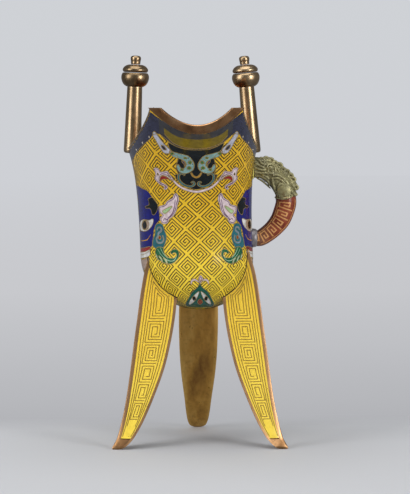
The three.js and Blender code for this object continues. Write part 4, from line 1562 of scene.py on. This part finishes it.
class JUE_OT_legs(bpy.types.Operator):
    """Three legs: gilt cores, enamel panels and their wires"""

    bl_idname = "jue.legs"
    bl_label = "Legs"

    def execute(self, context):
        yellow = as_seen(context.scene.jue_colours.leg_yellow)
        material = ground_enamel("Leg yellow", yellow, (228, 184, 54), 0.02, 0.16)
        for place, angle in LEG_ANGLES.items():
            leg_body(place, angle)
            for label, side in (("a", 1), ("b", -1)):
                leg_panel(place, angle, side, label, material)
                limits = meeting_heights(angle, side)
                wires = inlay(f"leg_{place}_wires_{label}", leg_drawing(limits), leg_carrier(angle, side),
                              leg_wire())
                finish_piece(wires, leg_wire())
                self.joint(f"leg_{place}_joint_{label}", angle, side, limits)
        return {"FINISHED"}

    def joint(self, name, angle, side, limits):
        """Dark wire where the face of a leg runs into the bowl."""
        line = []
        for run in np.arange(0, 24, 0.5):
            z = np.interp(run, range(25), limits)
            if run > face_length(z):
                break
            spot = at_angle([face_point(z, side, run, 0.0)], angle)
            line.append(kept_out(spot, -0.05)[0])
        finish_piece(solid_wire(name, line, 0.38), leiwen_wire())


# Posts
def lathe(name, profile, matrix, sides=56):
    """A turned piece from (radius, height) pairs in millimetres, closed at both ends."""
    rings = []
    for radius, height in profile:
        ring = [matrix @ Vector((radius * math.cos(t), radius * math.sin(t), height))
                for t in np.linspace(0, 2 * math.pi, sides, endpoint=False)]
        rings.append([np.array(p) for p in ring])
    return ring_body(name, rings, 50)


def rounded_profile(points, pieces=5):
    return [tuple(p) for p in curve_through(points, pieces, False)]


STEM = [(4.0, 0), (4.9, 0.5), (5.2, 1.9), (5.18, 4), (4.85, 20), (4.5, 38.6), (4.45, 39.4)]
LOWER_BEAD = [(4.5, 0), (5.4, 0.3), (6.9, 1.5), (7.9, 3.4), (8.3, 5.4), (8.1, 7.0), (7.5, 8.1), (6.6, 8.4)]
UPPER_BEAD = [(6.2, 0), (7.1, 0.25), (7.6, 1.2), (7.35, 2.3), (6.2, 3.6), (4.6, 4.4), (3.2, 4.6)]
BUTTON = [(2.6, 0), (2.8, 0.5), (2.85, 1.8), (3.0, 2.4), (3.1, 3.6), (2.8, 4.5), (1.9, 5.05), (0.6, 5.2)]


class JUE_OT_posts(bpy.types.Operator):
    """Two turned posts with their bead caps"""

    bl_idname = "jue.posts"
    bl_label = "Posts"

    def execute(self, context):
        for name, side, tilt in (("post_left", -1, 2.3), ("post_right", 1, 5.0)):
            matrix = (Matrix.Translation((side * 36.0 - LEAN_AT_RIM, -4.0, 175.2))
                      @ Matrix.Rotation(math.radians(-side * tilt), 4, "Y"))
            height = 0.0
            for part, profile, rise in (("stem", STEM, 39.6), ("bead_lower", LOWER_BEAD, 8.6),
                                        ("bead_upper", UPPER_BEAD, 4.8), ("finial", BUTTON, 0)):
                turned = rounded_profile([(r, h + height) for r, h in profile])
                piece = lathe(f"{name}_{part}_turned", turned, matrix)
                finish_piece(piece, gilt(), [f"{name}_{part}"])
                height += rise
        return {"FINISHED"}


# Handle
TUBE_FOOT = BELLY_X + 3.5


def between(start, end, place, rise):
    """A point of the XZ plane at shares of the way from one point to another."""
    return lerp(start[0], end[0], place), lerp(start[1], end[1], rise)


TUBE_ENDS = (TUBE_FOOT, HANDLE_FOOT_Z), (HANDLE_REACH, HEAD_TUBE_Z)
TUBE_PATH = [(TUBE_FOOT - 2.4, HANDLE_FOOT_Z)] + [between(*TUBE_ENDS, *share) for share in (
    (0.1, 0.004), (0.45, 0.175), (0.71, 0.374), (0.85, 0.545), (0.99, 0.837), (0.99, 1.03))]
TUBE_THICK = [(0, 9.5), (0.35, 10.5), (0.65, 12.1), (1, 12.5)]
TUBE_WIDE = [(0, 9.3), (0.4, 10.1), (1, 11.9)]


def bar_grid(path, thick, wide, steps, sides):
    """Rings, and outward directions, of a round bar along a path in the XZ plane."""
    line = curve_through(path, 12, False)
    lengths = np.concatenate([[0], np.cumsum([np.linalg.norm(b - a) for a, b in zip(line, line[1:])])])
    line = np.array(line)
    rings, outs = [], []
    for i in range(steps + 1):
        share = i / steps
        at = lambda s: np.array([np.interp(s * lengths[-1], lengths, line[:, k]) for k in range(2)])
        centre = at(share)
        along = at(min(share + 0.01, 1)) - at(max(share - 0.01, 0))
        along /= np.linalg.norm(along)
        high, broad = smooth(thick, share) / 2, smooth(wide, share) / 2
        ring, out = [], []
        for t in np.linspace(0, 2 * math.pi, sides + 1):
            c, s = math.cos(t), math.sin(t)
            ring.append((centre[0] - along[1] * high * c, broad * s, centre[1] + along[0] * high * c))
            direction = np.array([-along[1] * c / high, s / broad, along[0] * c / high])
            out.append(direction / np.linalg.norm(direction))
        rings.append(leaned(ring))
        outs.append(out)
    return np.array(rings), np.array(outs), lengths[-1]


class JUE_OT_handle(bpy.types.Operator):
    """Enamelled tube of the handle with its key fret, and the collar at its foot"""

    bl_idname = "jue.handle"
    bl_label = "Handle"

    def execute(self, context):
        rings, outs, length = bar_grid(TUBE_PATH, TUBE_THICK, TUBE_WIDE, 60, 40)
        tube = ring_body("handle_bar", [ring[:-1] for ring in rings])
        finish_piece(tube, handle_enamel(), ["handle_tube"])
        around = 34.0
        shape = (41, 61, 3)
        spots = to_part(np.swapaxes(rings, 0, 1).reshape(-1, 3)).reshape(shape)
        carrier = Carrier("handle_carrier", spots, np.swapaxes(outs, 0, 1), around, length, (0.0, 0.0))
        drawing = Drawing()
        for middle in (around / 4, around * 3 / 4):
            for k in range(6):
                v = length - 5.2 - 5.9 * k
                wide = 3.9 - 0.22 * k
                drawing.wire([(middle + x, v + y) for x, y in key_meander(wide, 2.35)], 0.8, 0.1, step=1.2)
            for side in (-1, 1):
                line = [(middle + side * (5.4 - 0.035 * (length - v)), v) for v in np.arange(3.2, length - 1.2, 1.4)]
                drawing.wire(line, 0.6, 0.1)
        wires = inlay("handle_fret_wires", drawing, carrier, self.orange_wire())
        finish_piece(wires, self.orange_wire())
        collar = Matrix.Translation((BELLY_X - 1.3, 0, HANDLE_FOOT_Z)) @ Matrix.Rotation(math.pi / 2, 4, "Y")
        shift = Matrix.Translation((float(lean_shift(HANDLE_FOOT_Z)), 0, 0))
        profile = rounded_profile([(5.0, 0), (5.6, 0.2), (5.7, 1.9), (5.5, 3.2), (5.1, 4.0), (4.6, 4.3)], 4)
        ring = lathe("handle_foot_ring", profile, shift @ collar)
        finish_piece(ring, slate_metal(), ["handle_collar"])
        rings, _, _ = bar_grid([(BELLY_X + 1.15, HEAD_ROOT_Z), (BELLY_X + 1.8, HEAD_ROOT_Z),
                                (BELLY_X + 2.6, HEAD_ROOT_Z)],
                               [(0, 14.8), (0.8, 14.4), (1, 13.4)], [(0, 10.8), (0.8, 10.4), (1, 9.4)], 12, 40)
        flange = ring_body("handle_root_flange", [ring[:-1] for ring in rings])
        # Its pale yellow is partly painted highlight
        finish_piece(flange, flange_enamel_and_highlight())
        return {"FINISHED"}

    def orange_wire(self):
        return metal("Orange fret wire", (216, 158, 96), (186, 124, 66), (124, 76, 38), 0.4, 0.25)


NECK_ENDS = (BELLY_X, HEAD_ROOT_Z), (HANDLE_REACH, HEAD_TUBE_Z)
NECK_PATH = [between(*NECK_ENDS, *share) for share in (
    (0.055, 0), (0.35, 0.03), (0.57, 0.17), (0.77, 0.4), (0.91, 0.66), (0.99, 0.88), (0.99, 1.02))]
NECK_THICK = [(0, 12.6), (0.35, 12.4), (0.7, 12.0), (1, 12.3)]
NECK_WIDE = [(0, 8.8), (0.35, 9.4), (0.75, 11.8), (1, 12.0)]

# Relief of the head seen from the side: (radius, points) of each raised line, as (x, z) in the
# leaned frame.
HEAD_LINES = [
    (0.75, [(33.4, 171.8), (35.8, 170.6), (37.6, 168.8), (40.0, 168.2)]),
    (0.7, [(33.4, 169.1), (35.8, 167.6), (38.8, 166.4)]),
    (0.7, [(33.4, 166.4), (36.4, 165.2), (39.4, 164.9)]),
    (0.7, [(33.4, 163.7), (36.4, 163.1), (40.0, 163.1), (41.8, 162.5)]),
    (0.95, [(33.4, 161.3), (36.4, 161.0), (39.4, 159.8), (41.5, 157.7), (42.4, 155.6)]),
    (0.7, [(37.6, 161.9), (40.0, 161.0), (41.8, 159.2)]),
    (0.6, [(34.6, 159.8), (37.6, 158.3), (40.6, 155.9), (43.0, 153.5)]),
    (0.8, [(37.6, 170.3), (40.0, 170.7), (43.0, 170.0), (45.4, 167.9), (46.9, 165.8), (48.1, 163.7)]),
    (0.75, [(40.3, 166.1), (41.2, 167.9), (43.3, 168.3), (45.1, 167.0), (45.7, 164.9)]),
    (0.7, [(40.9, 164.3), (42.7, 162.9), (44.8, 163.1)]),
    (0.95, [(43.9, 161.6), (46.6, 161.9), (49.2, 160.7), (51.6, 158.6), (53.4, 156.2), (54.9, 153.2), (56.7, 150.8), (58.8, 149.2)]),
    (0.75, [(44.2, 159.8), (46.6, 160.1), (48.9, 158.9), (51.0, 156.8), (52.8, 154.1), (54.3, 151.4)]),
    (0.8, [(43.7, 160.4), (44.0, 157.4), (44.9, 154.4), (46.0, 151.4)]),
    (0.7, [(46.9, 148.8), (46.9, 152.9), (47.6, 155.6), (49.2, 156.6), (51.1, 155.4), (52.9, 153.2), (54.1, 150.8), (53.7, 148.7)]),
    (0.6, [(48.4, 149.4), (49.8, 151.1), (51.6, 151.1), (52.4, 149.7)]),
    (0.55, [(50.4, 154.0), (51.9, 152.5), (53.1, 150.2)]),
    (0.8, [(49.5, 164.9), (51.9, 162.2), (54.3, 159.5), (56.1, 156.8), (57.6, 154.4)]),
    (0.8, [(46.0, 148.1), (48.9, 147.7), (51.9, 147.9), (54.9, 148.8)]),
]
# Curls as (x, z, radius, turns, start angle, hand, thickness)
HEAD_CURLS = [
    (43.1, 165.4, 1.9, 1.0, 200, -1, 0.55),
    (48.6, 154.3, 1.35, 1.2, 90, -1, 0.45),
    (49.2, 151.9, 1.2, 1.2, 160, 1, 0.42),
    (37.9, 170.1, 1.5, 1.2, 60, -1, 0.6),
    (48.6, 166.3, 1.7, 1.2, 120, -1, 0.6),
    (52.7, 162.2, 1.8, 1.2, 120, -1, 0.6),
    (56.2, 159.1, 1.7, 1.2, 120, -1, 0.6),
]


def tube_mesh(shape, line, radii, sides=12):
    """Adds a round tube with flat closed ends along a line to a bmesh."""
    line = [Vector(p) for p in line]
    loops = []
    for i, (p, radius) in enumerate(zip(line, radii)):
        along = (line[min(i + 1, len(line) - 1)] - line[max(i - 1, 0)]).normalized()
        side = along.cross(Vector((0, 1, 0)))
        side = side.normalized() if side.length > 0.2 else along.cross(Vector((1, 0, 0))).normalized()
        other = along.cross(side)
        loops.append([shape.verts.new(p + side * radius * math.cos(t) + other * radius * math.sin(t))
                      for t in np.linspace(0, 2 * math.pi, sides, endpoint=False)])
    for a, b in zip(loops, loops[1:]):
        for j in range(sides):
            k = (j + 1) % sides
            shape.faces.new((a[j], a[k], b[k], b[j]))
    shape.faces.new(loops[0][::-1])
    shape.faces.new(loops[-1])


def curl_line(x, z, radius, turns, start, y, grow=0.15, lean=0.0, hand=1):
    """A flat spiral in a plane of constant Y, from its outside in."""
    line = []
    for k in range(22):
        t = k / 21
        r = radius * (1 - (1 - grow) * t)
        angle = math.radians(start) + hand * t * turns * 2 * math.pi
        line.append((x + r * math.cos(angle), y + lean * t, z + r * math.sin(angle)))
    return line


def blob(shape, x, y, z, rx, ry, rz, turn=0.0):
    """Adds an ellipsoid, turned about Y."""
    matrix = (Matrix.Translation((x, y, z)) @ Matrix.Rotation(math.radians(turn), 4, "Y")
              @ Matrix.Diagonal((rx, ry, rz, 1)))
    bmesh.ops.create_icosphere(shape, subdivisions=3, radius=1, matrix=matrix)


class NeckSide:
    """Finds how far the side of the neck stands out from its middle plane."""

    def __init__(self):
        rings, _, _ = bar_grid(NECK_PATH, NECK_THICK, NECK_WIDE, 80, 4)
        self.centres = np.array([ring[:4].mean(0) for ring in rings])[:, [0, 2]]
        self.high = np.array([smooth(NECK_THICK, i / 80) / 2 for i in range(81)])
        self.wide = np.array([smooth(NECK_WIDE, i / 80) / 2 for i in range(81)])

    def out(self, x, z):
        gaps = np.hypot(self.centres[:, 0] - x, self.centres[:, 1] - z)
        i = int(gaps.argmin())
        share = min(gaps[i] / self.high[i], 0.97)
        return self.wide[i] * math.sqrt(1 - share ** 2)


class JUE_OT_head(bpy.types.Operator):
    """Cast beast's head at the top of the handle"""

    bl_idname = "jue.head"
    bl_label = "Head"

    def execute(self, context):
        rings, _, _ = bar_grid(NECK_PATH, NECK_THICK, NECK_WIDE, 46, 28)
        shape = bmesh.new()
        loops = [[shape.verts.new(Vector(p)) for p in ring[:-1]] for ring in rings]
        for a, b in zip(loops, loops[1:]):
            for j in range(28):
                k = (j + 1) % 28
                shape.faces.new((a[j], a[k], b[k], b[j]))
        shape.faces.new(loops[0][::-1])
        shape.faces.new(loops[-1])
        self.relief(shape)
        for vert in shape.verts:
            vert.co = Vector(to_part([vert.co])[0])
        mesh = bpy.data.meshes.new("head")
        bmesh.ops.recalc_face_normals(shape, faces=shape.faces)
        shape.to_mesh(mesh)
        shape.free()
        rough = bpy.data.objects.new("head", mesh)
        context.scene.collection.objects.link(rough)
        remesh = rough.modifiers.new("Remesh", "REMESH")
        remesh.mode = "VOXEL"
        remesh.voxel_size = 0.00024
        soften = rough.modifiers.new("Smooth", "SMOOTH")
        soften.factor, soften.iterations = 0.5, 2
        head = plain_copy(rough, "handle_beast_head")
        bpy.data.objects.remove(rough)
        count = len(head.data.vertices)
        spots, normals = np.empty(count * 3), np.empty(count * 3)
        head.data.vertices.foreach_get("co", spots)
        head.data.vertex_normals.foreach_get("vector", normals)
        grain = [noise.noise(Vector(spot) * 900) * 0.00006 for spot in spots.reshape(-1, 3)]
        spots += normals * np.repeat(grain, 3)
        head.data.vertices.foreach_set("co", spots)
        head.data.shade_smooth()
        finish_piece(head, patina(), ["handle_head"])
        return {"FINISHED"}

    def relief(self, shape):
        """Raised lines and curls on both sides, and the row of curls along the crest."""
        neck = NeckSide()
        for side in (-1, 1):
            for radius, points in HEAD_LINES:
                line = []
                for x, z in curve_through(points, 4, False):
                    line.append((x, side * (neck.out(x, z) + radius * 0.35), z))
                count = len(line)
                radii = [radius * (0.55 + 0.45 * math.sin(math.pi * (i + 0.8) / (count + 0.6)))
                         for i in range(count)]
                tube_mesh(shape, line, radii, 10)
            for x, z, radius, turns, start, hand, thick in HEAD_CURLS:
                y = side * (neck.out(x, z) + thick * 0.2)
                line = curl_line(x, z, radius, turns, start, y, 0.16, side * 0.35, hand)
                tube_mesh(shape, line, np.linspace(thick, thick * 0.6, 22), 10)
            # Eyeball under its lid, with the cheek swelling beside the tube
            blob(shape, 43.2, side * (neck.out(43.2, 165.9) + 0.1), 165.9, 1.5, 1.2, 1.3, 20)
            blob(shape, 50.9, side * (neck.out(50.9, 152.4) - 0.5), 152.4, 4.4, 1.5, 5.0, 20)
        for x, z, r in ((37.9, 170.6, 1.7), (40.6, 171.0, 1.9), (43.4, 170.2, 2.0), (45.9, 168.4, 1.9),
                        (48.6, 167.0, 2.3), (50.6, 164.6, 1.9), (52.9, 163.0, 2.3), (55.2, 161.0, 2.0),
                        (56.7, 158.6, 2.0)):
            for y in (-1.9, 1.9):
                tube_mesh(shape, curl_line(x, z, r, 1.15, 220, y * 0.75, 0.2, 0.25 * y, -1),
                          np.linspace(0.95, 0.6, 22), 10)
            blob(shape, x - 0.7, 0, z - 1.0, 1.9, 2.2, 1.7)
        # Snout, lips and the hooked tips beside the tube
        blob(shape, 56.2, 0, 155.4, 3.0, 4.2, 3.4, -30)
        for side in (-1, 1):
            tube_mesh(shape, curl_line(58.2, 154.0, 1.75, 1.1, 200, side * 2.6, 0.3, side * 0.5, -1),
                      np.linspace(0.95, 0.7, 22), 10)
            tube_mesh(shape, [(55.2, side * 4.6, 153.0), (56.4, side * 4.2, 150.9), (58.0, side * 3.6, 149.7),
                              (59.2, side * 3.2, 150.3)], [0.9, 0.95, 0.85, 0.6], 10)
        tube_mesh(shape, [(55.6, 0, 152.0), (57.6, 0, 150.0), (58.9, 0, 149.9)], [3.0, 1.9, 1.1], 14)


# Stage
LENS = 168.0
CAMERA_DISTANCE = 1.387
CAMERA_HEIGHT = 0.225
CAMERA_PITCH = math.radians(4.4)
AXIS_X = 0.0035
TABLE_EDGE_Y = 0.05


def stage_material(name, base, seen, amount):
    """A plain surface that keeps shadows. Camera rays see plain greys far off, and reflections see
    one even grey."""
    paint = Paint(name)
    tree = paint.tree
    grain = paint.ramp(paint.noise(900.0, 2.0), [(0.3, 0.97), (0.7, 1.0)])
    paint.set("Base Color", paint.mix(1.0, base, grain, "MULTIPLY"))
    paint.set("Roughness", 0.85)
    rays = paint.node("ShaderNodeLightPath")
    glow = paint.node("ShaderNodeEmission")
    paint.link(paint.mix(rays.outputs["Is Glossy Ray"], seen(paint), REFLECTED), glow.inputs["Color"])
    far = paint.times(rays.outputs["Is Camera Ray"], amount(paint))
    blend = paint.node("ShaderNodeMixShader")
    paint.link(paint.times(far, rays.outputs["Is Glossy Ray"], "MAXIMUM"), blend.inputs[0])
    paint.link(paint.shader.outputs[0], blend.inputs[1])
    paint.link(glow.outputs[0], blend.inputs[2])
    paint.link(blend.outputs[0], tree.nodes["Material Output"].inputs["Surface"])
    return paint.material


REFLECTED = (118, 119, 122)
# Painted light on the table behind the vessel: greys that camera rays see, paler with distance, as shares of its 3.5 m
FAR_SHADES = [
    (0.025, (179, 180, 184)), (0.05, (183, 184, 188)), (0.14, (192, 193, 197)), (0.27, (200, 201, 205)),
    (0.95, (206, 208, 213)),
]


def area_light(name, place, aim, size, power, colour=(1.0, 1.0, 1.0)):
    lamp = bpy.data.lights.new(name, "AREA")
    lamp.shape = "RECTANGLE"
    lamp.size, lamp.size_y = size
    lamp.energy = power
    lamp.color = colour
    made = bpy.data.objects.new(name, lamp)
    made.location = place
    made.rotation_euler = (Vector(aim) - Vector(place)).to_track_quat("-Z", "Y").to_euler()
    bpy.context.scene.collection.objects.link(made)


class JUE_OT_stage(bpy.types.Operator):
    """Pale table, backdrop, soft studio light and the camera"""

    bl_idname = "jue.stage"
    bl_label = "Stage"

    def execute(self, context):
        scene = context.scene
        far, near = 4.0, 3.5
        floor = new_object("floor", [(-far, -near, 0), (far, -near, 0), (far, near, 0), (-far, near, 0)],
                           [(0, 1, 2, 3)], recalc=False)
        floor.data.materials.append(stage_material(
            "Table", (196, 197, 200),
            lambda paint: paint.mix(1.0, paint.ramp(paint.along("Y", 0.0, near), FAR_SHADES),
                                    # Painted shade: the far greys darken a little towards the right
                                    paint.ramp(paint.along("X", -0.25, 0.25), [(0.0, 1.0), (1.0, 0.98)]),
                                    "MULTIPLY"),
            lambda paint: paint.along("Y", TABLE_EDGE_Y, TABLE_EDGE_Y + 0.05)))
        wall = new_object("backdrop", [(-far, near, 0), (far, near, 0), (far, near, 4), (-far, near, 4)],
                          [(0, 1, 2, 3)], recalc=False)
        wall.data.materials.append(stage_material(
            "Backdrop", (206, 209, 212),
            lambda paint: paint.ramp(paint.along("Z", 0.0, 0.5), [(0.0, (206, 208, 213)), (1.0, (207, 210, 214))]),
            lambda paint: paint.along("Y", 0.0, 1.0)))
        self.light(scene)
        turn = scene.jue_sizes.camera_turn
        camera_data = bpy.data.cameras.new("camera")
        camera_data.lens = LENS
        camera_data.sensor_width = 36
        camera_data.clip_end = 50
        camera = bpy.data.objects.new("camera", camera_data)
        axis = Vector((AXIS_X + OFFSET[0] / 1000, OFFSET[1] / 1000, 0))
        camera.location = axis + Vector((math.sin(turn) * CAMERA_DISTANCE,
                                         -math.cos(turn) * CAMERA_DISTANCE, CAMERA_HEIGHT))
        camera.rotation_euler = (math.pi / 2 - CAMERA_PITCH, 0, turn)
        scene.collection.objects.link(camera)
        scene.camera = camera
        scene.view_settings.view_transform = "Standard"
        return {"FINISHED"}

    def light(self, scene):
        area_light("right_softbox", (0.84, -0.92, 0.3), (0, 0, 0.12), (0.45, 0.9), 9.5)
        area_light("left_softbox", (-1.05, -0.65, 0.45), (0, 0, 0.12), (0.6, 1.2), 9.5)
        area_light("top_softbox", (-0.1, -0.3, 1.5), (0, 0, 0.1), (1.3, 1.3), 13.0)
        world = bpy.data.worlds.new("studio")
        scene.world = world
        world.use_nodes = True
        nodes, links = world.node_tree.nodes, world.node_tree.links
        background = nodes["Background"]
        background.inputs["Color"].default_value = linear((206, 209, 213))
        rays = nodes.new("ShaderNodeLightPath")
        seen = nodes.new("ShaderNodeMapRange")
        seen.inputs["To Min"].default_value = 0.55
        seen.inputs["To Max"].default_value = 1.0
        links.new(rays.outputs["Is Camera Ray"], seen.inputs["Value"])
        strength = nodes.new("ShaderNodeMix")
        strength.inputs[3].default_value = 0.2935
        links.new(rays.outputs["Is Glossy Ray"], strength.inputs[0])
        links.new(seen.outputs[0], strength.inputs[2])
        links.new(strength.outputs[0], background.inputs["Strength"])


class JUE_PT_panel(bpy.types.Panel):
    """Lists the pieces of the vessel and their sizes"""

    bl_idname = "JUE_PT_panel"
    bl_label = "Cloisonne jue"
    bl_space_type = "VIEW_3D"
    bl_region_type = "UI"
    bl_category = "Jue"

    def draw(self, context):
        for group in (context.scene.jue_sizes, context.scene.jue_colours):
            for key in group.__annotations__:
                self.layout.prop(group, key)
        for operator in OPERATORS:
            self.layout.operator(operator.bl_idname)


OPERATORS = (JUE_OT_bowl, JUE_OT_fret, JUE_OT_ornament, JUE_OT_mouth, JUE_OT_legs, JUE_OT_posts,
             JUE_OT_handle, JUE_OT_head, JUE_OT_stage)
CLASSES = (JueSizes, JueColours) + OPERATORS + (JUE_PT_panel,)


def register():
    for item in CLASSES:
        bpy.utils.register_class(item)
    bpy.types.Scene.jue_sizes = bpy.props.PointerProperty(type=JueSizes)
    bpy.types.Scene.jue_colours = bpy.props.PointerProperty(type=JueColours)


def unregister():
    del bpy.types.Scene.jue_colours
    del bpy.types.Scene.jue_sizes
    for item in reversed(CLASSES):
        bpy.utils.unregister_class(item)


def main():
    register()
    bpy.ops.jue.bowl()
    bpy.ops.jue.fret()
    bpy.ops.jue.ornament()
    bpy.ops.jue.mouth()
    bpy.ops.jue.legs()
    bpy.ops.jue.posts()
    bpy.ops.jue.handle()
    bpy.ops.jue.head()
    bpy.ops.jue.stage()


if __name__ == "__main__":
    main()
